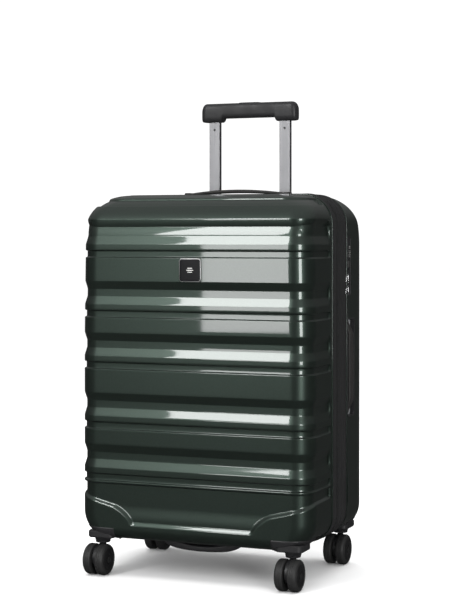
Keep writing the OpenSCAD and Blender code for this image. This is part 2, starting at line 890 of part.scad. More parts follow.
caster_wheel(-1, -1, -1);  // wheel_front_left_a
caster_wheel(-1, -1, 1);  // wheel_front_left_b
caster_wheel(1, -1, -1);  // wheel_front_right_a
caster_wheel(1, -1, 1);  // wheel_front_right_b
caster_wheel(-1, 1, -1);  // wheel_rear_left_a
caster_wheel(-1, 1, 1);  // wheel_rear_left_b
caster_wheel(1, 1, -1);  // wheel_rear_right_a
caster_wheel(1, 1, 1);  // wheel_rear_right_b
housing_screws(-1);  // housing_screws_front
housing_screws(1);  // housing_screws_rear
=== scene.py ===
"""Looks of the hard shell suitcase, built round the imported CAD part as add-on style operators."""

import math

import bmesh
import bpy
import numpy as np
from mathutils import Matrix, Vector


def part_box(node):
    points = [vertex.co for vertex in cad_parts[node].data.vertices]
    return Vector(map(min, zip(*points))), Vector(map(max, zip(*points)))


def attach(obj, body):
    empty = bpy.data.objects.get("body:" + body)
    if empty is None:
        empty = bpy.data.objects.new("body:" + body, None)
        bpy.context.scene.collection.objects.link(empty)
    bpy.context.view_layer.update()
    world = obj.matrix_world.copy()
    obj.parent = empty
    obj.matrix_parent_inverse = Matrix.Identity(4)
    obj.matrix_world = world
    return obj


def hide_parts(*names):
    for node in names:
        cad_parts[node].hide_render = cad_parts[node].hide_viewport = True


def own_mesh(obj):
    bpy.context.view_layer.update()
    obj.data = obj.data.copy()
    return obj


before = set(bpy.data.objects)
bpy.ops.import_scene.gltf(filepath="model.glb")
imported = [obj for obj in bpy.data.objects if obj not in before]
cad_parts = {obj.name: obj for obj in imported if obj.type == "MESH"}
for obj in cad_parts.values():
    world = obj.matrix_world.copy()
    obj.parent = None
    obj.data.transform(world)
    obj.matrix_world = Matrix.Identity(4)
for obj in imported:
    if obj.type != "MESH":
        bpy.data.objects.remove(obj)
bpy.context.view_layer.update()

bl_info = {
    "name": "Hard Shell Suitcase",
    "version": (1, 0, 0),
    "blender": (4, 5, 0),
    "location": "3D View > Sidebar > Suitcase",
    "description": "Ribbed shells, zipped band, casters and handles of a suitcase",
    "category": "Add Mesh",
}

MM = 0.001


# ---------------------------------------------------------------- places from the frame

def box_mm(node):
    """Lowest and highest corner of a CAD node, in millimetres."""
    low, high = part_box(node)
    return np.array(low) * 1000.0, np.array(high) * 1000.0


FRONT_LO, FRONT_HI = box_mm("front_shell")
REAR_LO, REAR_HI = box_mm("rear_shell")
BAND_LO, BAND_HI = box_mm("gusset_band")
SIDE_X = FRONT_HI[0]
LOW_Z = FRONT_LO[2]
HIGH_Z = FRONT_HI[2]
FRONT_Y = FRONT_LO[1]
RIM_Y = FRONT_HI[1]
REAR_RIM_Y = REAR_LO[1]
REAR_Y = REAR_HI[1]
GROOVE_TOPS = LOW_Z + np.array([116.5, 209.0, 316.5, 409.0, 516.5, 609.0])
# How far an axle stands ahead of its fork's swivel
TRAIL = 18.0
CORNERS = (("front_left", -1, -1), ("front_right", 1, -1),
           ("rear_left", -1, 1), ("rear_right", 1, 1))


def smooth(t):
    """Zero below 0, one above 1, with a smooth S between."""
    t = np.clip(t, 0.0, 1.0)
    return t * t * (3.0 - 2.0 * t)


# ---------------------------------------------------------------- meshes from arrays

class Surface:
    """Collects grids of points (in millimetres) and turns them into one mesh."""

    def __init__(self):
        self.points = []
        self.quads = []
        self.count = 0

    def grid(self, points, wrap_rows=False, wrap_cols=False, keep=None, flip=False):
        """Adds a grid of points joined by quads; keep marks the quads that are wanted."""
        rows, cols = points.shape[:2]
        index = np.arange(rows * cols).reshape(rows, cols) + self.count
        if wrap_rows:
            index = np.concatenate([index, index[:1]], axis=0)
        if wrap_cols:
            index = np.concatenate([index, index[:, :1]], axis=1)
        quads = np.stack([index[:-1, :-1], index[:-1, 1:], index[1:, 1:], index[1:, :-1]], axis=-1)
        if flip:
            quads = quads[..., ::-1]
        quads = quads.reshape(-1, 4) if keep is None else quads[keep]
        self.points.append(points.reshape(-1, 3))
        self.quads.append(quads)
        self.count += rows * cols
        return self

    def boxes(self, centres, along, out, across, sizes):
        """Adds a small box at each centre, with three axes and three sizes per box."""
        signs = np.array([[x, y, z] for z in (-1, 1) for y in (-1, 1) for x in (-1, 1)]) * 0.5
        axes = np.stack([along * sizes[0], out * sizes[1], across * sizes[2]], axis=1)
        corners = centres[:, None, :] + np.einsum("ka,nax->nkx", signs, axes)
        faces = np.array([[0, 2, 3, 1], [4, 5, 7, 6], [0, 1, 5, 4],
                          [2, 6, 7, 3], [0, 4, 6, 2], [1, 3, 7, 5]])
        start = self.count + np.arange(len(centres))[:, None, None] * 8
        self.points.append(corners.reshape(-1, 3))
        self.quads.append((faces[None] + start).reshape(-1, 4))
        self.count += len(centres) * 8
        return self

    def build(self, name, body, material, slot, replaces=(), closed=True, shade=40.0):
        """Makes the object, merges its doubles, and rides it on its body."""
        points = np.concatenate(self.points) * MM
        quads = np.concatenate(self.quads).astype(np.int32)
        mesh = bpy.data.meshes.new(name)
        mesh.vertices.add(len(points))
        mesh.vertices.foreach_set("co", points.astype(np.float32).ravel())
        mesh.loops.add(quads.size)
        mesh.loops.foreach_set("vertex_index", quads.ravel())
        mesh.polygons.add(len(quads))
        mesh.polygons.foreach_set("loop_start", np.arange(len(quads), dtype=np.int32) * 4)
        mesh.update(calc_edges=True)
        mesh.validate()
        work = bmesh.new()
        work.from_mesh(mesh)
        bmesh.ops.remove_doubles(work, verts=work.verts, dist=2e-6)
        bmesh.ops.dissolve_degenerate(work, edges=work.edges, dist=1e-6)
        if closed:
            bmesh.ops.recalc_face_normals(work, faces=work.faces)
        work.to_mesh(mesh)
        work.free()
        mesh.polygons.foreach_set("use_smooth", np.ones(len(mesh.polygons), dtype=bool))
        mesh.set_sharp_from_angle(angle=math.radians(shade))
        obj = bpy.data.objects.new(name, mesh)
        bpy.context.scene.collection.objects.link(obj)
        mesh.materials.append(material)
        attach(obj, body)
        if replaces:
            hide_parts(*replaces)
        return obj


AXES = {"x": (1, 2, 0), "y": (0, 2, 1), "z": (0, 1, 2)}


def hull_outline(circles, inset, count=96):
    """Outline of the tight loop round a set of circles (a, b, r), each shrunk by inset: for
    every direction the point comes from the circle that reaches furthest that way."""
    angle = np.arange(count) * 2 * np.pi / count + 0.001
    normal = np.stack([np.cos(angle), np.sin(angle)], axis=-1)
    circles = np.asarray(circles, dtype=float)
    reach = normal @ circles[:, :2].T + circles[:, 2]
    best = circles[reach.argmax(axis=1)]
    return best[:, :2] + normal * np.maximum(best[:, 2:3] - inset, 0.0)


def puck(surface, circles, low, high, edge, axis, crown=0.0, count=96):
    """Adds a flat piece: the loop round the circles, between two levels, with its rims rounded
    by a quarter circle of radius edge, and its high face raised by crown in the middle."""
    t = np.linspace(0.0, np.pi / 2, 5)
    insets = np.concatenate([edge * (1 - np.sin(t)), edge * (1 - np.cos(t))])
    levels = np.concatenate([low + edge * (1 - np.cos(t)), high - edge * (1 - np.sin(t))])
    rows = [hull_outline(circles, inset, count) for inset in insets]
    middle = rows[0].mean(axis=0)
    shrink = np.linspace(1.0, 0.0, 5)[1:]
    low_rows = [middle + (rows[0] - middle) * k for k in shrink[::-1]]
    high_rows = [middle + (rows[-1] - middle) * k for k in shrink]
    flat = np.concatenate([low_rows, rows, high_rows])
    high_levels = high + crown * (1 - shrink ** 2)
    level = np.concatenate([np.full(4, low), levels, high_levels])
    a, b, c = AXES[axis]
    points = np.empty(flat.shape[:2] + (3,))
    points[..., a] = flat[..., 0]
    points[..., b] = flat[..., 1]
    points[..., c] = level[:, None]
    return surface.grid(points, wrap_cols=True)


def revolve(surface, profile, centre, axis, count=64):
    """Adds a turned piece: each (radius, level) of the profile goes round the axis."""
    profile = np.asarray(profile, dtype=float)
    angle = np.arange(count) * 2 * np.pi / count
    a, b, c = AXES[axis]
    points = np.empty((len(profile), count, 3))
    points[..., a] = centre[a] + profile[:, :1] * np.cos(angle)
    points[..., b] = centre[b] + profile[:, :1] * np.sin(angle)
    points[..., c] = centre[c] + profile[:, 1:]
    return surface.grid(points, wrap_cols=True)


def round_box(surface, low, high, radius, steps=5):
    """Adds a box with rounded edges: the inner box's corner in a direction's octant, plus the
    radius along that direction."""
    low, high = np.asarray(low, float), np.asarray(high, float)
    middle, half = (low + high) / 2, (high - low) / 2
    radius = min(radius, half.min() * 0.999)
    quarter = np.linspace(0.0, np.pi / 2, steps + 1)
    turn = np.concatenate([quarter + k * np.pi / 2 for k in range(4)])
    turn_sign = np.repeat(np.array([[1, 1], [-1, 1], [-1, -1], [1, -1]]), steps + 1, axis=0)
    rise = np.concatenate([quarter - np.pi / 2, quarter])
    rise_sign = np.repeat([-1.0, 1.0], steps + 1)
    inner = half - radius
    points = np.empty((len(rise), len(turn), 3))
    points[..., 0] = turn_sign[:, 0] * inner[0] + radius * np.outer(np.cos(rise), np.cos(turn))
    points[..., 1] = turn_sign[:, 1] * inner[1] + radius * np.outer(np.cos(rise), np.sin(turn))
    points[..., 2] = (rise_sign * inner[2] + radius * np.sin(rise))[:, None]
    points += middle
    ends = [np.broadcast_to(np.array([[0, 0, k * half[2]]]) + middle, (1, len(turn), 3))
            for k in (-1, 1)]
    return surface.grid(np.concatenate([ends[0], points, ends[1]]), wrap_cols=True)


def strap(surface, path, side, width, thick, edge=0.45, count=40):
    """Adds a bar along a path: at each point a rounded section of the given width (along side)
    and thickness (across both side and path), closed at its two ends."""
    path = np.asarray(path, dtype=float)
    side = np.asarray(side, dtype=float)
    width = np.broadcast_to(width, len(path)).astype(float)
    thick = np.broadcast_to(thick, len(path)).astype(float)
    tangent = np.gradient(path, axis=0)
    tangent /= np.linalg.norm(tangent, axis=1)[:, None]
    out = np.cross(tangent, side)
    out /= np.linalg.norm(out, axis=1)[:, None]
    angle = np.arange(count) * 2 * np.pi / count
    power = edge
    ca = np.sign(np.cos(angle)) * np.abs(np.cos(angle)) ** power
    sa = np.sign(np.sin(angle)) * np.abs(np.sin(angle)) ** power
    ring = (path[:, None] + side * (width[:, None, None] / 2) * ca[None, :, None]
            + out[:, None] * (thick[:, None, None] / 2) * sa[None, :, None])
    ends = [np.broadcast_to(path[k], (1, count, 3)) for k in (0, -1)]
    return surface.grid(np.concatenate([ends[0], ring, ends[1]]), wrap_cols=True)


# ---------------------------------------------------------------- shells

def half_width(z):
    """Half width of the case at a height, and the slope angle of its outline there: upright
    sides that end in quarter circles of 48 mm below and 55 mm above."""
    low_r, high_r = 48.0, 55.0
    low_s = np.clip((LOW_Z + low_r - z) / low_r, 0, 1)
    high_s = np.clip((z - HIGH_Z + high_r) / high_r, 0, 1)
    width = (SIDE_X - low_r * (1 - np.sqrt(1 - low_s ** 2))
             - high_r * (1 - np.sqrt(1 - high_s ** 2)))
    return width, np.arcsin(high_s) - np.arcsin(low_s)


def side_profile(depth, dome_r, edge_r=20.0, step=0.25):
    """Path of the shell's middle section: back along the underside, round the lower edge, up
    the face, over the dome and back along the top. Gives depth, height and slope angle."""
    def count(length):
        return max(int(length / step), 3)
    t = np.linspace(0, np.pi / 2, count(edge_r * 1.57))
    u = np.linspace(0, np.pi / 2, count(dome_r * 1.57))
    low = np.linspace(0, depth - edge_r, count(depth - edge_r))[:-1]
    face = np.linspace(LOW_Z + edge_r, HIGH_Z - dome_r, count(HIGH_Z - LOW_Z - edge_r - dome_r))
    top = np.linspace(depth - dome_r, 0, count(depth - dome_r))[1:]
    d = np.concatenate([low, depth - edge_r + edge_r * np.sin(t), np.full(len(face) - 2, depth),
                        depth - dome_r + dome_r * np.cos(u), top])
    z = np.concatenate([np.full(len(low), LOW_Z), LOW_Z + edge_r * (1 - np.cos(t)), face[1:-1],
                        HIGH_Z - dome_r + dome_r * np.sin(u), np.full(len(top), HIGH_Z)])
    phi = np.concatenate([np.full(len(low), -np.pi / 2), t - np.pi / 2,
                          np.zeros(len(face) - 2), u, np.full(len(top), np.pi / 2)])
    return d, z, phi


FINE_Z = np.arange(0.0, 900.0, 0.1)


def soften(levels, depths, width):
    """A broken line of depths over heights, with its corners rounded over the given width."""
    line = np.interp(FINE_Z, levels, depths)
    kernel = np.hanning(int(width / 0.1) + 2)
    return np.convolve(line, kernel / kernel.sum(), "same")


def rib_line(groove, recess):
    """Depth over height: at each groove top t a groove from t-13 to t, a crest, and a wide
    recess from t+10.5 to t+52, steeper at its top in the uppermost row. The last groove has
    no recess above it."""
    levels, depths = [0.0], [0.0]
    for number, t in enumerate(GROOVE_TOPS, start=1):
        levels += [t - 13.2, t - 11.6, t - 1.4, t + 0.2]
        depths += [0, groove, groove, 0]
        if number < len(GROOVE_TOPS):
            steep = 1.0 if number == len(GROOVE_TOPS) - 1 else 0.0
            levels += [t + 10.5, t + 25, t + 38 + 5 * steep, t + 52 + 3 * steep]
            depths += [0, recess, recess + 2 * steep, 0]
    return soften(levels + [900.0], depths + [0.0], 2.0)


def hook_setback(z):
    """How far a groove's or recess's end lies back from its tip, so that it ends round."""
    set_back = np.zeros_like(z)
    for t in GROOVE_TOPS:
        for centre, half, reach in ((t - 6.5, 7.5, 7.0), (t + 31.2, 21.5, 13.0)):
            q = np.abs(z - centre) / half
            set_back = np.where(q < 1, reach * (1 - np.sqrt(np.clip(1 - q * q, 0, 1))), set_back)
    return set_back


class Shell:
    """One half of the case. Rows follow the side profile; each row runs from the rim along one
    side, round the upright corner, across the face and back along the other side."""

    def __init__(self, depth, dome_r, rim_y, way):
        self.depth, self.rim_y, self.way = depth, rim_y, way
        self.d, self.z, self.phi = side_profile(depth, dome_r)
        step = np.hypot(np.diff(self.d), np.diff(self.z))
        self.length = np.concatenate([[0], np.cumsum(step)])

    def at_height(self, z):
        """Path length where the face or dome reaches a height."""
        half = self.d.argmax()
        return np.interp(z, self.z[half:] + np.arange(len(self.z) - half) * 1e-9,
                         self.length[half:])

    def at_depth(self, d):
        """Path length where the dome or top has come back to a depth."""
        half = len(self.d) - 1 - self.d[::-1].argmax()
        return np.interp(d, self.d[half:][::-1], self.length[half:][::-1])

    def rows(self, line, exact=(), base=0.14, fine=0.0):
        """Path lengths of the rows, close together where the rib line bends and up to a
        height."""
        depth = np.interp(self.z, FINE_Z, line)
        bend = np.abs(np.gradient(np.gradient(depth, self.length + 1e-9 * np.arange(len(depth))),
                                  self.length + 1e-9 * np.arange(len(depth))))
        arc = (np.abs(self.phi) > 1e-6) & (np.abs(self.phi) < np.pi / 2 - 1e-6)
        weight = base + 0.5 * arc + np.clip(5 * np.sqrt(bend), 0, 2.0)
        weight = np.where((self.z < fine) & (self.z > LOW_Z + 20), np.maximum(weight, 0.8), weight)
        total = np.concatenate([[0], np.cumsum(weight[1:] * np.diff(self.length))])
        even = np.interp(np.linspace(0, total[-1], int(total[-1])), total, self.length)
        rows = np.unique(np.round(np.concatenate([even, np.asarray(exact, float)]), 3))
        return rows

    def points(self, rows, legs, flat=(), corner_r=36.0, corner_steps=20, band=4.0, inner=112.0,
               outer_steps=26):
        """Points (x, depth, z), outward directions, distance from the face's middle along the
        row, and depth from the rim."""
        d = np.interp(rows, self.length, self.d)[:, None]
        z = np.interp(rows, self.length, self.z)[:, None]
        phi = np.interp(rows, self.length, self.phi)[:, None]
        width, alpha = half_width(z)
        radius = np.minimum(corner_r, d)
        leg_length = d - radius
        legs = np.concatenate([legs, [1e6]])[None]
        leg = np.minimum(legs, leg_length)
        psi = np.linspace(0, np.pi / 2, corner_steps + 2)[1:-1][None]
        edge_x = width - radius
        outer = edge_x + (inner - edge_x) * np.linspace(0, 1, outer_steps + 1)[None, :-1]
        steady = np.unique(np.concatenate([np.arange(0, inner + 0.1, band), flat, [inner]]))
        steady = np.broadcast_to(steady[::-1], (len(rows), len(steady)))
        face = np.concatenate([outer, steady], axis=1)
        x = np.concatenate([width + 0 * leg, edge_x + radius * np.cos(psi), face], axis=1)
        y = np.concatenate([leg, leg_length + radius * np.sin(psi), d + 0 * face], axis=1)
        turn = np.concatenate([0 * leg, psi + 0 * radius, np.pi / 2 + 0 * face], axis=1)
        along = np.concatenate([edge_x + radius * np.pi / 2 + leg_length - leg,
                                edge_x + radius * (np.pi / 2 - psi), face], axis=1)
        normal = np.stack([np.cos(turn) * np.cos(alpha), np.sin(turn) * np.cos(phi),
                           np.cos(turn) * np.sin(alpha) + np.sin(turn) * np.sin(phi)], axis=-1)
        normal /= np.linalg.norm(normal, axis=-1)[..., None] + 1e-12
        points = np.stack([x, y, z + 0 * x], axis=-1)
        mirror = np.array([-1.0, 1.0, 1.0])
        flip = slice(-2, None, -1)
        return (np.concatenate([points, points[:, flip] * mirror], axis=1),
                np.concatenate([normal, normal[:, flip] * mirror], axis=1),
                np.concatenate([along, along[:, flip]], axis=1),
                np.concatenate([y, y[:, flip]], axis=1))

    def place(self, points):
        """From (x, depth, z) to the part's frame."""
        placed = points.copy()
        placed[..., 1] = self.rim_y + self.way * points[..., 1]
        return placed

    def skin(self, surface, points, normal, wall, keep=None):
        """Adds the outer skin and the edge that turns in at the rim by the wall."""
        def turned(edge, out, depth):
            moved = edge - out * wall
            moved[..., 1] = depth
            return moved
        stack = [turned(points[:1], normal[:1], 9.0), turned(points[:1], normal[:1], 0.0), points,
                 turned(points[-1:], normal[-1:], 0.0), turned(points[-1:], normal[-1:], 9.0)]
        surface.grid(self.place(points), keep=keep, flip=self.way < 0)
        for rows in (stack[:2] + [points[:1]], [points[-1:]] + stack[3:]):
            surface.grid(self.place(np.concatenate(rows)), flip=self.way < 0)
        for edge in (0, -1):
            column, out = points[:, edge:][:, :1], normal[:, edge:][:, :1]
            cols = [turned(column, out, 9.0), turned(column, out, 0.0), column]
            cols = cols if edge == 0 else cols[::-1]
            surface.grid(self.place(np.concatenate(cols, axis=1)), flip=self.way < 0)

    def lining_side(self, surface, inset=6.6):
        """Adds a plain inner skin, parallel to the unribbed shell."""
        rows = np.linspace(0, self.length[-1], 70)
        points, normal, _, _ = self.points(rows, np.linspace(0, 72, 7), corner_steps=6,
                                            band=28.0, outer_steps=6)
        points = points - normal * inset
        points[..., 1] = np.maximum(points[..., 1], 0.2)
        surface.grid(self.place(points), flip=self.way > 0)


FRONT = Shell(RIM_Y - FRONT_Y, 75.0, RIM_Y, -1)
REAR = Shell(REAR_Y - REAR_RIM_Y - 0.8, 90.0, REAR_RIM_Y, 1)


BLOCK_AT = (0.0, 98.0, 116.0, 130.0, 146.0, 240.0, 400.0)
BLOCK_TOP = (-60.0, -20.0, 38.0, 52.0, 62.0, 85.0, 88.0)


def bumper_depth(along, z, depth):
    """Sunk panel under the lowest groove: its foot is a long ramp and a steeper step, and it
    ends over two corner blocks whose tops fall from the corner towards the middle."""
    rise = z - LOW_Z
    top = smooth((100.5 - rise) / 2.2)
    ramp = depth * (0.42 * smooth((rise - 35.0) / 27.0) + 0.58 * smooth((rise - 25.0) / 8.5))
    reach = np.arange(0.0, 400.0, 0.5)
    kernel = np.hanning(41)
    line = np.convolve(np.interp(reach, BLOCK_AT, BLOCK_TOP), kernel / kernel.sum(), "same")
    block = np.interp(along, reach[30:-30], line[30:-30])
    return top * ramp * smooth((rise - block + 7.0) / 7.0)


def build_front_shell(settings, material):
    """Front half: rounded tray, with ribs let in along the outward direction, ending round
    near the rim, and a sunk lower panel between two corner blocks."""
    line = rib_line(settings.groove_depth, settings.recess_depth)
    rise = [0, 24, 34, 60, 64, 70, 74, 80, 84, 98, 100, 900]
    low = soften([0] + [LOW_Z + r for r in rise[1:]], [0, 0, 3, 4, 5, 4, 5, 4, 5, 4, 0, 0], 2.0)
    rows = FRONT.rows(line + 0.6 * low, fine=LOW_Z + 101)
    legs = np.concatenate([np.arange(0, 22, 1.4), np.linspace(24, 81, 10)])
    points, normal, along, from_rim = FRONT.points(rows, legs)
    z = points[..., 2]
    ribs = np.interp(z, FINE_Z, line)
    end = smooth((from_rim - 7.0 - hook_setback(z)) / 3.0)
    depth = (ribs + bumper_depth(along, z, settings.recess_depth)) * end
    points = points - normal * depth[..., None]
    barrel = smooth((z - 400.0) / 220.0) * np.clip(points[..., 1] / FRONT.depth, 0, 1)
    points[..., 0] *= 1 - settings.barrel / SIDE_X * barrel
    surface = Surface()
    FRONT.skin(surface, points, normal, settings.wall)
    FRONT.lining_side(surface)
    surface.build("front_shell_skin", "front_case", material, "shell_green", ["front_shell"],
                  closed=False, shade=60)


def build_rear_shell(settings, material):
    """Rear half, like the front one, with openings for the lock, the side cup, the carry
    handle's sockets and the telescopic handle's bezel, and a low flare on both sides."""
    line = rib_line(settings.groove_depth, settings.recess_depth)
    holes = []
    for node, grow in (("lock_case", 0.1), ("side_handle_cup", 0.1)):
        low, high = box_mm(node)
        holes.append((low - grow, high + grow, "side"))
    low, high = box_mm("carry_handle_mounts")
    well = 17.7
    bezel_low, bezel_high = box_mm("trolley_bezel")
    rim, top = REAR_RIM_Y, REAR.at_height
    exact = [top(h[k][2]) for h in holes for k in (0, 1)]
    exact += [top(bezel_low[2]), REAR.at_depth(bezel_low[1] - rim)]
    exact += [REAR.at_depth(low[1] - rim), REAR.at_depth(high[1] - rim)]
    rows = REAR.rows(line, exact)
    legs = np.unique(np.concatenate([np.linspace(0, 71, 22)] +
                                    [[h[k][1] - rim for k in (0, 1)] for h in holes]))
    wells = [high[0], high[0] - well]
    points, normal, _, from_rim = REAR.points(rows, legs, flat=[bezel_high[0]] + wells)
    z = points[..., 2]
    middle = (points[1:, 1:] + points[:-1, 1:] + points[1:, :-1] + points[:-1, :-1]) / 4
    x, y, height = middle[..., 0], middle[..., 1] + rim, middle[..., 2]
    keep = np.ones(x.shape, dtype=bool)
    for lo, hi, _ in holes:
        keep &= ~((x > 200) & (y > lo[1]) & (y < hi[1]) & (height > lo[2]) & (height < hi[2]))
    keep &= ~((np.abs(x) < bezel_high[0]) & (height > bezel_low[2]) & (y > bezel_low[1]))
    keep &= ~((np.abs(x) > wells[1]) & (np.abs(x) < wells[0]) & (y > low[1]) & (y < high[1])
              & (height > HIGH_Z - 12))
    ribs = np.interp(z, FINE_Z, line)
    end = smooth((from_rim - REAR.depth + 12.0 - 0.3 * hook_setback(z)) / 6.0)
    flare = soften([0, 112, 125, 170, 187, 900], [0, 0, 3, 3, 0, 0], 6.0)
    side = 1 - smooth((from_rim - 60) / 11.0)
    out = np.interp(z, FINE_Z, flare) * side
    points = points - normal * (ribs * end - out)[..., None]
    surface = Surface()
    REAR.skin(surface, points, normal, settings.wall, keep=keep)
    surface.build("rear_shell_skin", "rear_case", material, "shell_green", ["rear_shell"],
                  closed=False, shade=60)


def build_lining(shell, node, body, material):
    """Fabric lining: a skin parallel to the unribbed shell, held flat at the depth of the
    lining's back, open round the telescopic handle's well and thickened towards the shell."""
    low, high = box_mm(node)
    rows = np.linspace(0, shell.length[-1], 160)
    points, normal, _, _ = shell.points(rows, np.linspace(0, 72, 9), flat=[107.0],
                                        corner_steps=12, band=14.0, outer_steps=8)
    points = points - normal * 8.5
    back = np.abs(np.array([low[1], high[1]]) - shell.rim_y).max()
    points[..., 1] = np.clip(points[..., 1], 1.0, back)
    placed = shell.place(points)
    middle = (placed[1:, 1:] + placed[:-1, 1:] + placed[1:, :-1] + placed[:-1, :-1]) / 4
    well_low, well_high = box_mm("trolley_bezel")
    keep = ~((np.abs(middle[..., 0]) < well_high[0] + 3.3) & (middle[..., 1] > well_low[1] - 5)
             & (middle[..., 2] > well_low[2] - 3))
    surface = Surface()
    surface.grid(placed, keep=keep, flip=shell.way > 0)
    obj = surface.build(node + "_skin", body, material, "lining", [node], closed=False,
                        shade=60)
    thick = obj.modifiers.new("wall", "SOLIDIFY")
    thick.thickness = 1.0 * MM
    thick.offset = -1.0


# ---------------------------------------------------------------- rings round the case

def ring_path(spacing=6.0):
    """Points and outward directions round the case's outline, and length from the start."""
    low_r, high_r = 48.0, 55.0
    pieces = []
    for cx, cz, r, a0 in ((SIDE_X - high_r, HIGH_Z - high_r, high_r, 0),
                          (high_r - SIDE_X, HIGH_Z - high_r, high_r, 90),
                          (low_r - SIDE_X, LOW_Z + low_r, low_r, 180),
                          (SIDE_X - low_r, LOW_Z + low_r, low_r, 270)):
        a = np.radians(a0 + np.linspace(0, 90, 25))
        pieces.append(np.stack([cx + r * np.cos(a), cz + r * np.sin(a), np.cos(a), np.sin(a)], -1))
    loop = np.concatenate(pieces + [pieces[0][:1]])
    length = np.concatenate([[0], np.cumsum(np.hypot(*np.diff(loop[:, :2], axis=0).T))])
    even = np.arange(0, length[-1], spacing)
    where = np.unique(np.concatenate([even, length[:-1]]))
    return np.stack([np.interp(where, length, loop[:, k]) for k in range(4)], -1), length, loop


def ring(surface, profile, rows=None):
    """Adds a closed ring: each (out, y) of the profile is carried along the outline."""
    path = ring_path()[0] if rows is None else rows
    out = path[:, 2:] / np.linalg.norm(path[:, 2:], axis=1)[:, None]
    profile = np.asarray(profile, dtype=float)
    points = np.empty((len(path), len(profile), 3))
    points[..., 0] = path[:, :1] + out[:, :1] * profile[:, 0]
    points[..., 1] = profile[:, 1]
    points[..., 2] = path[:, 1:2] + out[:, 1:] * profile[:, 0]
    return surface.grid(points, wrap_rows=True, wrap_cols=True)


def circle_profile(out, y, r, count=10):
    """A round section, for piping and cord."""
    a = np.arange(count) * 2 * np.pi / count
    return np.stack([out + r * np.cos(a), y + r * np.sin(a)], -1)


def hinge_gap(path, grow=0.0):
    """True where the zip gives way to the fabric hinge on the left side."""
    low, high = box_mm("hinge_tape")
    beside = (path[:, 1] > low[2] - grow) & (path[:, 1] < high[2] + grow)
    return (path[:, 0] < -SIDE_X + 30) & beside


def zip_teeth(surface, y, pitch, out, size, skip_hinge):
    """Adds a row of small teeth at even steps along the outline."""
    _, length, loop = ring_path()
    count = int(length[-1] / pitch)
    where = np.arange(count) * length[-1] / count
    path = np.stack([np.interp(where, length, loop[:, k]) for k in range(4)], -1)
    if skip_hinge:
        path = path[~hinge_gap(path, 1.0)]
    normal = path[:, 2:] / np.linalg.norm(path[:, 2:], axis=1)[:, None]
    zero = np.zeros(len(path))
    outward = np.stack([normal[:, 0], zero, normal[:, 1]], -1)
    along = np.stack([-normal[:, 1], zero, normal[:, 0]], -1)
    across = np.tile([0.0, 1.0, 0.0], (len(path), 1))
    centres = np.stack([path[:, 0], zero + y, path[:, 1]], -1) + outward * out
    return surface.boxes(centres, along, outward, across, size)


def build_band(finishes):
    """Fabric band between the shells: a ring whose outside swells between its seams; the
    expansion zip lies in one of them, and piping runs along both shell rims."""
    low, high = BAND_LO[1], BAND_HI[1]
    zip_lo, zip_hi = (v[1] for v in box_mm("expansion_zip"))
    seams = np.array([low + 4, zip_lo, zip_hi, (zip_hi + high) / 2 - 3, high - 7.0])
    y = np.linspace(low + 0.2, high - 0.1, 140)
    gap = np.abs(y[:, None] - seams).min(axis=1)
    out = 0.75 + 0.75 * smooth(gap / 2.4) - 0.5 * smooth((low + 1.2 - y) / 1.0)
    outer = np.stack([out, y], -1)
    inner = np.stack([np.full(6, -1.3), np.linspace(high - 0.1, low + 0.2, 6)], -1)
    surface = ring(Surface(), np.concatenate([outer, inner]))
    surface.build("band_fabric_ring", "front_case", finishes["band"], "band_fabric",
                  ["gusset_band"])
    stitches = Surface()
    for seam in (seams[0] - 1.6, seams[3] - 2.4, seams[3] + 2.4, seams[4] + 2.2):
        zip_teeth(stitches, seam, 4.2, 1.35, (2.6, 0.5, 0.5), False)
    stitches.build("band_stitches", "front_case", finishes["thread"], "band_fabric")
    tape = Surface()
    mid = (zip_lo + zip_hi) / 2
    y = np.linspace(zip_lo + 0.1, zip_hi - 0.1, 40)
    from_mid = np.abs(y - mid)
    out = 1.35 + 0.75 * smooth((2.6 - from_mid) / 1.0) - 0.35 * smooth((0.5 - from_mid) / 0.5)
    base = np.stack([np.full(4, 0.4), np.linspace(zip_hi - 0.1, zip_lo + 0.1, 4)], -1)
    ring(tape, np.concatenate([np.stack([out, y], -1), base]))
    zip_teeth(tape, mid - 1.2, 2.1, 2.0, (1.2, 0.7, 1.6), False)
    zip_teeth(tape, mid + 1.2, 2.1, 2.0, (1.2, 0.7, 1.6), False)
    tape.build("expansion_zip_coil", "front_case", finishes["zip"], "zip_tape",
               ["expansion_zip"])
    for name, y, body in (("front_rim_piping", RIM_Y + 0.2, "front_case"),
                          ("rear_rim_piping", REAR_RIM_Y + 0.5, "rear_case")):
        ring(Surface(), circle_profile(0.45, y, 1.15)).build(name, body, finishes["piping"],
                                                             "shell_green")


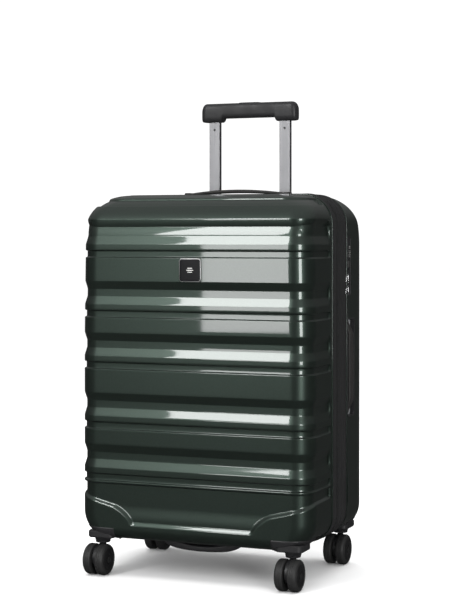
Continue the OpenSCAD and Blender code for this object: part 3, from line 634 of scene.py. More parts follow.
def build_main_zip(settings, finishes):
    """Main zip: a tape and a row of teeth on each half, open along the hinge side."""
    for node, body, way in (("main_zip_front", "front_case", -1),
                            ("main_zip_rear", "rear_case", 1)):
        low, high = (v[1] for v in box_mm(node))
        near = high if way < 0 else low
        far = low if way < 0 else high
        y = np.linspace(far, near, 16)
        out = 0.25 + 0.4 * smooth((1.9 - np.abs(y - near)) / 0.8)
        path = ring_path()[0]
        gap = hinge_gap(path)
        start = np.flatnonzero(gap)[-1] + 1
        path = np.roll(path, -start, axis=0)
        path = path[~np.roll(gap, -start)]
        outside = np.stack([out, y], -1)
        inside = np.stack([np.full(3, -1.4), np.linspace(near, far, 3)], -1)
        profile = np.concatenate([outside, inside])
        normal = path[:, 2:] / np.linalg.norm(path[:, 2:], axis=1)[:, None]
        points = np.empty((len(path), len(profile), 3))
        points[..., 0] = path[:, :1] + normal[:, :1] * profile[:, 0]
        points[..., 1] = profile[:, 1]
        points[..., 2] = path[:, 1:2] + normal[:, 1:] * profile[:, 0]
        ends = [np.broadcast_to(points[k].mean(axis=0), (1,) + points[k].shape) for k in (0, -1)]
        surface = Surface().grid(np.concatenate([ends[0], points, ends[1]]), wrap_cols=True)
        zip_teeth(surface, near + way * 0.85, settings.tooth_pitch, 0.75, (1.1, 0.55, 1.5), True)
        surface.build(node + "_teeth", body, finishes["zip"], "zip_tape", [node])


# ---------------------------------------------------------------- hardware

def outline_circles(a0, a1, b0, b1, r):
    """Corner circles of a rectangle with rounded corners."""
    return [(a, b, r) for a in (a0 + r, a1 - r) for b in (b0 + r, b1 - r)]


def build_badge(finishes):
    """Badge: a satin frame with a dark face and a plain raised mark of three bars."""
    low, high = box_mm("badge_plate")
    face = low[1]
    outer = outline_circles(low[0], high[0], low[2], high[2], 5)
    surface = puck(Surface(), outer, -high[1] - 0.6, -face + 1.0, 0.8, "y")
    surface = flip_y(surface)
    surface.build("badge_frame", "front_case", finishes["steel"], "badge", ["badge_plate"])
    inner = outline_circles(low[0] + 1.3, high[0] - 1.3, low[2] + 1.3, high[2] - 1.3, 4.0)
    face_plate = flip_y(puck(Surface(), inner, -high[1], -face + 1.35, 0.35, "y", crown=0.1))
    face_plate.build("badge_face", "front_case", finishes["enamel"], "badge")
    mark = Surface()
    middle = (low[2] + high[2]) / 2
    for k, half in ((-1, 4.0), (0, 6.0), (1, 4.0)):
        puck(mark, [(-half, middle + k * 3.4, 0.7), (half, middle + k * 3.4, 0.7)],
             -face + 1.0, -face + 1.8, 0.25, "y", count=32)
    flip_y(mark).build("badge_mark", "front_case", finishes["dial"], "badge")


def flip_y(surface):
    """Turns levels measured towards the front into places along -Y."""
    for points in surface.points:
        points[:, 1] *= -1
    return surface


def build_bottom_grip(finishes):
    """Bottom grip: a curved bar whose section is widest in the middle."""
    low, high = box_mm("bottom_grip")
    x = np.linspace(low[0] + 1.5, high[0] - 1.5, 91)
    t = x / high[0]
    under = low[2] + (high[2] - low[2]) * (0.35 * t ** 2 + 0.65 * np.abs(t) ** 7)
    over = np.minimum(high[2] - 0.2, low[2] + 11.5 + 9.0 * (x / 55.0) ** 2)
    over = np.maximum(over, under + 0.6)
    path = np.stack([x, np.full_like(x, (low[1] + high[1]) / 2), (under + over) / 2], -1)
    surface = strap(Surface(), path, (0, 1, 0), (high[1] - low[1]) * (1 - 0.12 * t ** 2),
                    over - under, edge=0.5)
    surface.build("bottom_grip_bar", "front_case", finishes["plastic"], "black_plastic",
                  ["bottom_grip"])


def build_lock(finishes):
    """Lock trims: knurled dials, a ribbed release button, a rim round the key cylinder, and a
    thin frame round the whole lock."""
    low, high = box_mm("lock_case")
    face = high[0]
    for number in (1, 2, 3):
        node = "lock_dial_%d" % number
        d_lo, d_hi = box_mm(node)
        r = (d_hi[0] - d_lo[0]) / 2
        centre = (d_lo + d_hi) / 2
        half = (d_hi[2] - d_lo[2]) / 2
        levels = np.array([-half, -half, -half + 0.5, -1.5, -1.1, 1.1, 1.5, half - 0.5, half])
        radius = np.array([0, r - 0.6, r, r, r - 0.35, r - 0.35, r, r, r - 0.6])
        angle = np.arange(180) * 2 * np.pi / 180
        teeth = 0.35 * (np.cos(angle * 20) > 0.2)
        grip = np.where(np.abs(levels) > 1.3, 1.0, 0.0) * (radius > r - 0.1)
        reach = radius[:, None] - grip[:, None] * teeth[None]
        points = np.empty((len(levels), len(angle), 3))
        points[..., 0] = centre[0] + reach * np.cos(angle)
        points[..., 1] = centre[1] + reach * np.sin(angle)
        points[..., 2] = centre[2] + levels[:, None]
        cap = np.broadcast_to(centre + [0, 0, half], (1, len(angle), 3))
        Surface().grid(np.concatenate([points, cap]), wrap_cols=True).build(
            node + "_knurled", node, finishes["dial"], "dial_metal", [node])
    b_lo, b_hi = box_mm("lock_button")
    button = Surface()
    round_box(button, b_lo, b_hi - [0.05, 0, 0], 0.8)
    for k in (-3, -1.5, 0, 1.5, 3):
        z = (b_lo[2] + b_hi[2]) / 2 + k
        round_box(button, [b_hi[0] - 0.6, b_lo[1] + 0.8, z - 0.35],
                  [b_hi[0] + 0.05, b_hi[1] - 0.8, z + 0.35], 0.25, 3)
    button.build("lock_button_ribbed", "lock_button", finishes["dial"], "dial_metal",
                 ["lock_button"])
    c_lo, c_hi = box_mm("lock_cylinder")
    centre = (c_lo + c_hi) / 2
    r = (c_hi[1] - c_lo[1]) / 2
    rim = [(r + 0.25, face - 0.3), (r + 0.35, face + 0.45), (r + 0.9, face + 0.6),
           (r + 1.6, face + 0.35), (r + 1.7, face - 0.3)]
    ring_points = np.asarray(rim)
    surface = Surface()
    angle = np.arange(64) * 2 * np.pi / 64
    points = np.empty((len(rim), 64, 3))
    points[..., 0] = ring_points[:, 1:]
    points[..., 1] = centre[1] + ring_points[:, :1] * np.cos(angle)
    points[..., 2] = centre[2] + ring_points[:, :1] * np.sin(angle)
    surface.grid(points, wrap_rows=True, wrap_cols=True)
    surface.build("key_rim", "rear_case", finishes["chrome"], "dial_metal")
    frame_line = Surface()
    profile = circle_profile(0.0, 0.0, 0.55, 8)
    loop = hull_outline(outline_circles(low[1] + 0.5, high[1] - 0.5, low[2] + 0.5, high[2] - 0.5,
                                        3.0), 0.0, 160)
    out = hull_outline(outline_circles(low[1] - 0.5, high[1] + 0.5, low[2] - 0.5, high[2] + 0.5,
                                       4.0), 0.0, 160) - loop
    out /= np.linalg.norm(out, axis=1)[:, None]
    points = np.empty((160, len(profile), 3))
    points[..., 0] = face + profile[:, 1]
    points[..., 1] = loop[:, :1] + out[:, :1] * profile[:, 0]
    points[..., 2] = loop[:, 1:] + out[:, 1:] * profile[:, 0]
    frame_line.grid(points, wrap_rows=True, wrap_cols=True)
    frame_line.build("lock_frame", "rear_case", finishes["plastic"], "black_plastic")


def build_pulls(finishes):
    """Zip sliders and their pull tabs: a domed slider with a bridge, and a rounded loop tab
    with a thicker grip end."""
    for place in ("upper", "lower"):
        low, high = box_mm("zip_slider_" + place)
        mid = (low + high) / 2
        slider = Surface()
        outline = [(mid[1] - 2.2, low[2] + 2.0, 1.6), (mid[1] + 2.2, low[2] + 2.0, 1.6),
                   (mid[1] - 1.6, high[2] - 1.8, 1.6), (mid[1] + 1.6, high[2] - 1.8, 1.6)]
        puck(slider, outline, low[0], high[0] - 0.5, 0.4, "x", count=48)
        arch = high[0] - 0.8 + 0.7 * np.sin(np.linspace(0, np.pi, 15))
        path = np.stack([arch, np.full(15, high[1] - 1.6),
                         np.linspace(low[2] + 1.5, high[2] - 1.5, 15)], -1)
        strap(slider, path, (0, 1, 0), 2.0, 0.9, 0.6, 16)
        bridge = np.stack([np.full(9, mid[0] + 0.2), np.linspace(mid[1], high[1] + 0.8, 9),
                           np.full(9, mid[2])], -1)
        strap(slider, bridge, (0, 0, 1), 2.6, 0.8, 0.6, 16)
        slider.build("zip_slider_%s_body" % place, "zip_slider_" + place, finishes["chrome"],
                     "chrome_metal", ["zip_slider_" + place])
        low, high = box_mm("zip_tab_" + place)
        mid = (low + high) / 2
        half_z = (high[2] - low[2]) / 2
        tab = Surface()
        a = np.linspace(0, 2 * np.pi, 64, endpoint=False)
        wide = 0.72
        ca = np.sign(np.cos(a)) * np.abs(np.cos(a)) ** wide
        sa = np.sign(np.sin(a)) * np.abs(np.sin(a)) ** wide
        b = np.linspace(0, 2 * np.pi, 12, endpoint=False)
        half_y = (high[1] - low[1]) / 2
        bar = 1.5 + 1.0 * smooth(np.cos(a) * 1.2)
        ring_y = (half_y - bar * 0.9) * ca
        ring_z = (half_z - 1.7) * sa
        points = np.empty((64, 12, 3))
        points[..., 0] = mid[0] + 0.78 * np.sin(b)[None]
        points[..., 1] = mid[1] + ring_y[:, None] + (bar * ca)[:, None] * 0.9 * np.cos(b)[None]
        points[..., 2] = mid[2] + ring_z[:, None] + 1.6 * sa[:, None] * np.cos(b)[None]
        tab.grid(points, wrap_rows=True, wrap_cols=True)
        round_box(tab, [low[0] + 0.15, mid[1] - 0.3, low[2] + 1.6],
                  [high[0] - 0.15, high[1] - 1.2, high[2] - 1.6], 0.6, 3)
        tab.build("zip_tab_%s_pull" % place, "zip_tab_" + place, finishes["chrome"],
                  "chrome_metal", ["zip_tab_" + place])


def bent_path(start, end, levels, lift, reach, rise):
    """Points of a bar that climbs out of its seat over a short reach, runs level, and goes
    back: a smooth step at both ends."""
    t = np.linspace(start, end, 90)
    climb = np.minimum(smooth((t - start) / reach), smooth((end - t) / reach))
    return t, levels + lift * climb + rise


def build_side_handle(finishes):
    """Side handle: a soft bar bent into its cup at both ends, and the cup with its lip."""
    low, high = box_mm("side_handle")
    mid_y = (low[1] + high[1]) / 2
    width = high[1] - low[1]
    z, x = bent_path(low[2] + 2, high[2] - 2, low[0] + 3.0, high[0] - low[0] - 6.0, 26.0, 0.0)
    thick = 5.9 * (1 - 0.35 * smooth((np.abs(z - z.mean()) - 70) / 18.0))
    path = np.stack([x, np.full_like(z, mid_y), z], -1)
    taper = width * (0.92 - 0.16 * smooth((np.abs(z - z.mean()) - 58) / 28.0))
    bar = strap(Surface(), path, (0, 1, 0), taper, thick, 0.62)
    bar.build("side_handle_bar", "side_handle", finishes["rubber"], "soft_grip", ["side_handle"])
    seam = Surface()
    keep = (z > low[2] + 22) & (z < high[2] - 22)
    for way in (-1, 1):
        line = path[keep] + [2.75, way * width * 0.36, 0]
        strap(seam, line, (0, 1, 0), 0.7, 0.7, 1.0, 8)
    seam.build("side_handle_seams", "side_handle", finishes["plastic"], "soft_grip")
    low, high = box_mm("side_handle_cup")
    base = hull_outline(outline_circles(low[1] - 1.2, high[1] + 1.2, low[2] - 1.2,
                                        high[2] + 1.2, 8.0), 0.0, 192)
    inner = hull_outline(outline_circles(low[1] + 1.9, high[1] - 1.9, low[2] + 1.9,
                                         high[2] - 1.9, 5.0), 0.0, 192)
    t = np.linspace(0, 1, 9)[:, None, None]
    across = base[None] * (1 - t) + inner[None] * t
    level = high[0] - 0.35 + 0.95 * np.sin(np.pi * t[:, 0, 0]) ** 0.7
    points = np.empty((9, 192, 3))
    points[..., 0] = level[:, None]
    points[..., 1:] = across
    under = points.copy()[[8, 0]]
    under[..., 0] -= 0.9
    lip = Surface().grid(np.concatenate([points, under]), wrap_rows=True, wrap_cols=True)
    lip.build("side_cup_lip", "rear_case", finishes["plastic"], "black_plastic")


def build_carry_handle(finishes):
    """Carry handle: a low arch, thicker in the middle, with a boss over each leg."""
    low, high = box_mm("carry_handle")
    mid_y = (low[1] + high[1]) / 2
    x = np.linspace(low[0] + 0.5, high[0] - 0.5, 81)
    sag = high[2] - HIGH_Z - 4.2 - 0.4
    radius = (high[0] ** 2 + sag ** 2) / (2 * sag)
    thick = 4.2 + 2.7 * (1 - (x / high[0]) ** 2)
    z = high[2] - thick / 2 - (radius - np.sqrt(radius ** 2 - x ** 2))
    width = (high[1] - low[1]) * (0.99 - 0.22 * smooth((np.abs(x) - 70) / 36.0))
    path = np.stack([x, np.full_like(x, mid_y), z], -1)
    bar = strap(Surface(), path, (0, 1, 0), width, thick, 0.5)
    legs = handle_legs()
    for lo, hi in legs:
        round_box(bar, lo, hi, 2.0)
    bar.build("carry_handle_bar", "carry_handle", finishes["rubber"], "soft_grip",
              ["carry_handle"])
    trim = Surface()
    for lo, hi in legs:
        centre = (lo + hi) / 2
        loop = outline_circles(lo[0] - 3.4, hi[0] + 3.4, lo[1] - 3.4, hi[1] + 3.4, 3.0)
        outer = hull_outline(loop, 0.0)
        inner = hull_outline(outline_circles(lo[0] - 0.6, hi[0] + 0.6, lo[1] - 0.6, hi[1] + 0.6,
                                             1.2), 0.0)
        t = np.linspace(0, 1, 6)[:, None, None]
        across = outer[None] * (1 - t) + inner[None] * t
        points = np.empty((6, len(outer), 3))
        points[..., :2] = across
        points[..., 2] = (HIGH_Z + 0.1 + 0.35 * np.sin(np.pi * t[:, 0, 0]))[:, None]
        points[..., 2] -= 1.7 * smooth((points[..., 1] - centre[1] + 2) / 16.0)
        under = points.copy()[[5, 0]]
        under[..., 2] -= 2.4
        trim.grid(np.concatenate([points, under]), wrap_rows=True, wrap_cols=True)
    trim.build("carry_handle_rims", "rear_case", finishes["plastic"], "black_plastic")


def handle_legs():
    """Boxes of the carry handle's two legs, inside their sockets."""
    foot_z = box_mm("carry_handle")[0][2]
    socket_low, socket_high = box_mm("carry_handle_mounts")
    mid_y = (socket_low[1] + socket_high[1]) / 2
    half_socket, half_w, half_d = 8.8, 6, 8
    legs = []
    for way in (-1, 1):
        mid_x = way * (socket_high[0] - half_socket)
        legs.append((np.array([mid_x - half_w, mid_y - half_d, foot_z]),
                     np.array([mid_x + half_w, mid_y + half_d, HIGH_Z + 7.5])))
    return legs


def grip_half(low, high, tube_y, way, name, material):
    """Half of the telescopic grip: at each place along the bar a half section with rounded
    outer corners; its underside drops round both tubes and its ends are rounded."""
    tube_x, seam = 72.0, 0.12
    t = np.linspace(-1, 1, 121)
    half_len = high[0]
    x = half_len * np.sin(t * np.pi / 2) * 0.5 + half_len * 0.5 * t
    end = np.clip((np.abs(x) - (half_len - 10.0)) / 10.0, 0, 1)
    round_end = np.sqrt(np.clip(1 - end ** 2, 0, 1))
    around_tube = smooth((19.5 - np.abs(np.abs(x) - tube_x)) / 3.5)
    far = smooth((np.abs(x) - tube_x) / 6.0)
    bottom = low[2] + 7.5 * (1 - around_tube)
    bottom = np.where(far > 0.5, low[2] + 2.0 * (1 - round_end), bottom)
    top = high[2] - 15.0 * (1 - round_end)
    depth = (high[1] - low[1]) / 2 * (0.55 + 0.45 * round_end)
    a = np.linspace(0, np.pi / 2, 10)
    power = 0.55
    ca, sa = np.cos(a) ** power, np.sin(a) ** power
    mid = (top + bottom)[:, None] / 2
    tall = (top - bottom)[:, None] / 2
    upper = np.stack([depth[:, None] * sa[None], mid + tall * ca[None]], -1)
    lower = np.stack([depth[:, None] * sa[::-1][None], mid - tall * ca[::-1][None]], -1)
    inner_z = np.concatenate([mid - tall * 0.5, mid, mid + tall * 0.5], axis=1)
    inner = np.stack([np.zeros_like(inner_z), inner_z], -1)
    section = np.concatenate([upper, lower, inner], axis=1)
    points = np.empty(section.shape[:2] + (3,))
    points[..., 0] = x[:, None]
    points[..., 1] = tube_y + way * (seam + section[..., 0])
    points[..., 2] = section[..., 1]
    ends = [np.broadcast_to(points[k].mean(axis=0), (1,) + points[k].shape) for k in (0, -1)]
    surface = Surface().grid(np.concatenate([ends[0], points, ends[1]]), wrap_cols=True)
    return surface.build(name + "_shell", "trolley_inner", material, "grip_plastic", [name])


def build_trolley(finishes):
    """Telescopic handle: moulded grip in two halves, its button with a raised seat, a spring,
    the stop pins of the inner tubes, and a trim where each tube enters the bezel."""
    f_lo, f_hi = box_mm("grip_front")
    r_lo, r_hi = box_mm("grip_rear")
    tube_y = f_hi[1]
    low, high = np.minimum(f_lo, r_lo), np.maximum(f_hi, r_hi)
    grip_half(low, high, tube_y, -1, "grip_front", finishes["grip"])
    grip_half(low, high, tube_y, 1, "grip_rear", finishes["grip"])
    b_lo, b_hi = box_mm("grip_button")
    plate = outline_circles(b_lo[0], b_hi[0], b_lo[1], b_hi[1], 5.0)
    puck(Surface(), plate, b_lo[2], b_hi[2] - 0.4, 1.2, "z", crown=0.4).build(
        "grip_button_cap", "grip_button", finishes["button"], "grip_plastic", ["grip_button"])
    seat = Surface()
    outer = hull_outline(outline_circles(b_lo[0] - 2.2, b_hi[0] + 2.2, b_lo[1] - 2.2,
                                         b_hi[1] + 2.2, 6.5), 0.0)
    inner = hull_outline(outline_circles(b_lo[0] - 0.3, b_hi[0] + 0.3, b_lo[1] - 0.3,
                                         b_hi[1] + 0.3, 5.2), 0.0)
    t = np.linspace(0, 1, 7)[:, None, None]
    points = np.empty((7, len(outer), 3))
    points[..., :2] = outer[None] * (1 - t) + inner[None] * t
    points[..., 2] = (high[2] - 0.2 + 0.7 * np.sin(np.pi * t[:, 0, 0]))[:, None]
    under = points.copy()[[6, 0]]
    under[..., 2] -= 1.2
    seat.grid(np.concatenate([points, under]), wrap_rows=True, wrap_cols=True)
    seat.build("grip_button_seat", "trolley_inner", finishes["grip"], "grip_plastic")
    s_lo, s_hi = box_mm("grip_spring")
    turn = np.linspace(0, 2 * np.pi * 7, 170)
    mid = (s_lo + s_hi) / 2
    coil_r = (s_hi[0] - s_lo[0]) / 2 - 0.4
    path = np.stack([mid[0] + coil_r * np.cos(turn), mid[1] + coil_r * np.sin(turn),
                     np.linspace(s_lo[2] + 0.4, s_hi[2] - 0.4, 170)], -1)
    spring = strap(Surface(), path, (0, 0, 1), 0.8, 0.8, 1.0, 10)
    spring = spring.build("grip_spring_coil", "trolley_inner", finishes["steel"], "steel",
                          ["grip_spring"])
    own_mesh(spring)
    pins = Surface()
    t_lo, t_hi = box_mm("inner_tubes")
    for way in (-1, 1):
        centre = (way * (t_hi[0] - 10.6), 0.0, low[2] - 14.0)
        revolve(pins, [(0, 0), (2.2, 0), (2.2, 0.25), (1.9, 0.32), (0, 0.34)],
                (centre[0], 0, centre[2]), "y", 28)
    pins = flip_y(pins)
    for points in pins.points:
        points[:, 1] += t_lo[1] + 0.2
    pins.build("tube_stop_pins", "trolley_inner", finishes["dark"], "steel")
    bezel_lo = box_mm("trolley_bezel")[0]
    collars = Surface()
    for way in (-1, 1):
        mid_x = way * (t_hi[0] - 10.6)
        loop = outline_circles(mid_x - 18.5, mid_x + 18.5, tube_y - 12.5, tube_y + 12.2, 4.0)
        hole = outline_circles(mid_x - 12.8, mid_x + 12.8, tube_y - 7.0, tube_y + 7.0, 1.0)
        outer, inner = hull_outline(loop, 0.0), hull_outline(hole, 0.0)
        t = np.linspace(0, 1, 6)[:, None, None]
        points = np.empty((6, len(outer), 3))
        points[..., :2] = outer[None] * (1 - t) + inner[None] * t
        points[..., 2] = (bezel_lo[2] + 4.2 + 1.2 * np.sin(np.pi * 0.5 * t[:, 0, 0]))[:, None]
        under = points.copy()[[5, 0]]
        under[..., 2] -= 2.0
        collars.grid(np.concatenate([points, under]), wrap_rows=True, wrap_cols=True)
    collars.build("tube_entry_trims", "rear_case", finishes["plastic"], "black_plastic")


# ---------------------------------------------------------------- casters

def build_wheel(name, finishes):
    """Caster wheel: a tyre with a rounded tread and two fine grooves on a dished hub, turned
    about the axle."""
    low, high = box_mm(name)
    centre = (low + high) / 2
    r = (high[2] - low[2]) / 2
    axle_x = box_mm("axle_" + name[6:-2])
    middle = (axle_x[0][0] + axle_x[1][0]) / 2
    way = 1.0 if centre[0] > middle else -1.0
    inner = low[0] if way > 0 else high[0]
    w = high[0] - low[0]
    tyre = [(r - 9.0, 0.15), (r - 1.6, 0.15), (r - 0.5, 0.6), (r, 1.8), (r, 4.2), (r - 0.5, 4.5),
            (r, 4.8), (r, 7.6), (r - 0.5, 7.9), (r, 8.2), (r, w - 5.6), (r - 0.4, w - 4.2),
            (r - 1.6, w - 2.6), (r - 3.4, w - 1.4), (r - 5.4, w - 0.7), (r - 6.4, w - 0.9),
            (r - 6.9, w - 1.6), (r - 9.0, w - 1.6)]
    hub = [(3.1, 0.3), (9.0, 0.3), (9.4, 1.0), (r - 9.6, 1.0), (r - 8.0, 0.4), (r - 8.0, w - 2.0),
           (r - 8.4, w - 1.2), (r - 10.0, w - 0.7), (11.0, w - 0.4), (9.2, w - 0.5),
           (8.0, w - 1.3), (7.2, w - 2.0), (3.1, w - 2.0)]
    for part, profile in (("tyre", tyre), ("hub", hub)):
        points = np.asarray(profile, float)
        angle = np.arange(72) * 2 * np.pi / 72
        grid = np.empty((len(points), 72, 3))
        grid[..., 0] = inner + way * points[:, 1:]
        grid[..., 1] = centre[1] + points[:, :1] * np.cos(angle)
        grid[..., 2] = centre[2] + points[:, :1] * np.sin(angle)
        surface = Surface().grid(grid, wrap_rows=True, wrap_cols=True)
        surface.build("%s_%s" % (name, part), name, finishes[part], "wheel_rubber",
                      [name] if part == "tyre" else (), shade=35)


def build_fork(name, finishes):
    """Swivel fork: a rounded shield between the wheels, the tight loop round three circles
    from the axle to the neck, below a turned neck and flange, with its stem."""
    node = "fork_" + name
    low, high = box_mm(node)
    x = (low[0] + high[0]) / 2
    axle = box_mm("axle_" + name)
    ay, az = (axle[0][1] + axle[1][1]) / 2, (axle[0][2] + axle[1][2]) / 2
    swivel_y = ay + TRAIL
    plate = box_mm("plate_" + name)
    surface = Surface()
    loop = [(ay, az + 3.5, 19.5), (ay + 1, az + 11, 13), (swivel_y - 1.0, az + 18.0, 10.0)]
    puck(surface, loop, x - 4.0, x + 4.0, 1.6, "x")
    top = plate[0][2] - 0.4
    neck = [(0, top - 9.4), (4.0, top - 9.3), (4.0, top - 3.0), (12.8, top - 3.0),
            (13.3, top - 2.4), (13.3, top - 0.5), (12.8, top), (5, top), (5, high[2] - 0.8),
            (4.2, high[2]), (0, high[2])]
    revolve(surface, neck, (x, swivel_y, 0), "z", 48)
    surface.build(node + "_shield", "caster_" + name, finishes["plastic"], "black_plastic",
                  [node])


def plate_patch(shell, way_x, inner_x, inner_d, top_z, out, steps=60):
    """Corner patch of the unribbed shell, moved outwards: the whole skin up to a height, with
    every point held beyond a line across and a line along the case."""
    rows = np.linspace(0, shell.at_height(top_z), steps)
    points, normal, _, _ = shell.points(rows, np.linspace(0, shell.depth, 24), corner_steps=18,
                                        band=28.0, inner=100.0, outer_steps=16)
    half = points.shape[1] // 2 + 1
    points, normal = points[:, :half], normal[:, :half]
    points = points + normal * out
    points[..., 0] = np.maximum(points[..., 0], inner_x)
    points[..., 1] = np.maximum(points[..., 1], inner_d)
    points[..., 0] *= way_x
    return shell.place(points)


def build_plate(name, sx, sy, finishes):
    """Caster housing: a skin that wraps the shell's lower corner, the swivel's collar with its
    bored boss, and a flat pad round the collar with rounded edges."""
    low, high = box_mm("plate_" + name)
    shell = FRONT if sy < 0 else REAR
    edge = low[1] if sy > 0 else high[1]
    inner_d = abs(edge - shell.rim_y)
    inner_x = abs(low[0] if sx > 0 else high[0])
    body = "front_case" if sy < 0 else "rear_case"
    skin = Surface()
    points = plate_patch(shell, sx, inner_x, inner_d, 80.0, 0.7)
    skin.grid(points)
    obj = skin.build("plate_%s_skin" % name, body, finishes["plastic"], "black_plastic",
                     ["plate_" + name], closed=False)
    face_outwards(obj, np.array([sx * 120.0, shell.rim_y + shell.way * 40.0, 200.0]) * MM)
    thick = obj.modifiers.new("wall", "SOLIDIFY")
    thick.thickness = 3.2 * MM
    thick.offset = -1.0
    axle = box_mm("axle_" + name)
    x, y = (axle[0][0] + axle[1][0]) / 2, (axle[0][1] + axle[1][1]) / 2 + TRAIL
    base = low[2]
    turned = [(5.05, base), (13.4, base), (14.0, base + 0.6), (14.4, base + 4.6),
              (15.6, base + 6.2), (15.6, base + 10.2), (13, base + 10.6), (13, high[2] - 0.6),
              (12.4, high[2]), (5.05, high[2])]
    points = np.asarray(turned, float)
    angle = np.arange(72) * 2 * np.pi / 72
    grid = np.empty((len(points), 72, 3))
    grid[..., 0] = x + points[:, :1] * np.cos(angle)
    grid[..., 1] = y + points[:, :1] * np.sin(angle)
    grid[..., 2] = points[:, 1:]
    collar = Surface().grid(grid, wrap_rows=True, wrap_cols=True)
    near, far = min(abs(low[0]), abs(high[0])) + 4.0, max(abs(low[0]), abs(high[0])) - 0.4
    ends = sorted((sx * near, sx * far))
    circles = outline_circles(ends[0], ends[1], low[1] + 0.8, high[1] - 0.8, 11.0)
    loop, shrunk = hull_outline(circles, 0.0), hull_outline(circles, 1.8)
    toward = loop - [x, y]
    hole = [x, y] + toward / np.linalg.norm(toward, axis=1)[:, None] * 14.0
    pad = np.empty((6, len(loop), 3))
    for k, (line, z) in enumerate(((hole, base + 6.6), (shrunk, base + 6.6), (loop, base + 8.6),
                                   (loop, base + 17.0), (shrunk, base + 19.0),
                                   (hole, base + 19.0))):
        pad[k, :, :2] = line
        pad[k, :, 2] = z
    collar.grid(pad, wrap_rows=True, wrap_cols=True)
    collar.build("plate_%s_collar" % name, body, finishes["plastic"], "black_plastic")


def face_outwards(obj, inside):
    """Turns a skin's faces so that they look away from a point inside it."""
    mesh = obj.data
    work = bmesh.new()
    work.from_mesh(mesh)
    bmesh.ops.recalc_face_normals(work, faces=work.faces)
    away = sum((f.calc_center_median() - Vector(inside)).dot(f.normal) * f.calc_area()
               for f in work.faces)
    if away < 0:
        bmesh.ops.reverse_faces(work, faces=work.faces)
    work.to_mesh(mesh)
    work.free()


# ---------------------------------------------------------------- finishes

def finish(name, colour, rough, metal=0.0, coat=0.0, coat_rough=0.04, sheen=0.0, mottle=None,
           wear=None, bumps=(), specular=0.5):
    """A finish on Object coordinates. mottle is (scale, second colour); wear is (scale,
    lowest, highest roughness); each bump is (kind, scale per axis, strength, depth in m)."""
    material = bpy.data.materials.new(name)
    material.use_nodes = True
    nodes, links = material.node_tree.nodes, material.node_tree.links
    shader = nodes["Principled BSDF"]
    shader.inputs["Base Color"].default_value = (*colour, 1)
    shader.inputs["Roughness"].default_value = rough
    shader.inputs["Metallic"].default_value = metal
    shader.inputs["Specular IOR Level"].default_value = specular
    shader.inputs["Coat Weight"].default_value = coat
    shader.inputs["Coat Roughness"].default_value = coat_rough
    shader.inputs["Sheen Weight"].default_value = sheen
    place = nodes.new("ShaderNodeTexCoord").outputs["Object"]

    def stretched(scale):
        mapping = nodes.new("ShaderNodeMapping")
        mapping.inputs["Scale"].default_value = scale if hasattr(scale, "__len__") else (scale,) * 3
        links.new(place, mapping.inputs["Vector"])
        return mapping.outputs["Vector"]

    def noise(scale, detail=3.0):
        texture = nodes.new("ShaderNodeTexNoise")
        texture.inputs["Scale"].default_value = 1.0
        texture.inputs["Detail"].default_value = detail
        links.new(stretched(scale), texture.inputs["Vector"])
        return texture.outputs["Fac"]

    def wave(scale, direction):
        texture = nodes.new("ShaderNodeTexWave")
        texture.bands_direction = direction
        texture.inputs["Scale"].default_value = scale
        texture.inputs["Distortion"].default_value = 0.6
        texture.inputs["Detail"].default_value = 1.0
        links.new(place, texture.inputs["Vector"])
        return texture.outputs["Fac"]

    if mottle:
        mix = nodes.new("ShaderNodeMix")
        mix.data_type = "RGBA"
        mix.inputs[6].default_value = (*colour, 1)
        mix.inputs[7].default_value = (*mottle[1], 1)
        links.new(noise(mottle[0], 5.0), mix.inputs[0])
        links.new(mix.outputs[2], shader.inputs["Base Color"])
    if wear:
        spread = nodes.new("ShaderNodeMapRange")
        spread.inputs["From Min"].default_value = 0.3
        spread.inputs["From Max"].default_value = 0.7
        spread.inputs["To Min"].default_value = wear[1]
        spread.inputs["To Max"].default_value = wear[2]
        links.new(noise(wear[0], 4.0), spread.inputs["Value"])
        links.new(spread.outputs["Result"], shader.inputs["Roughness"])
    last = None
    for kind, scale, strength, depth in bumps:
        bump = nodes.new("ShaderNodeBump")
        bump.inputs["Strength"].default_value = strength
        bump.inputs["Distance"].default_value = depth
        source = noise(scale) if kind == "noise" else wave(scale, kind)
        links.new(source, bump.inputs["Height"])
        if last:
            links.new(last, bump.inputs["Normal"])
        last = bump.outputs["Normal"]
    if last:
        links.new(last, shader.inputs["Normal"])
    return material


FINISHES = {}


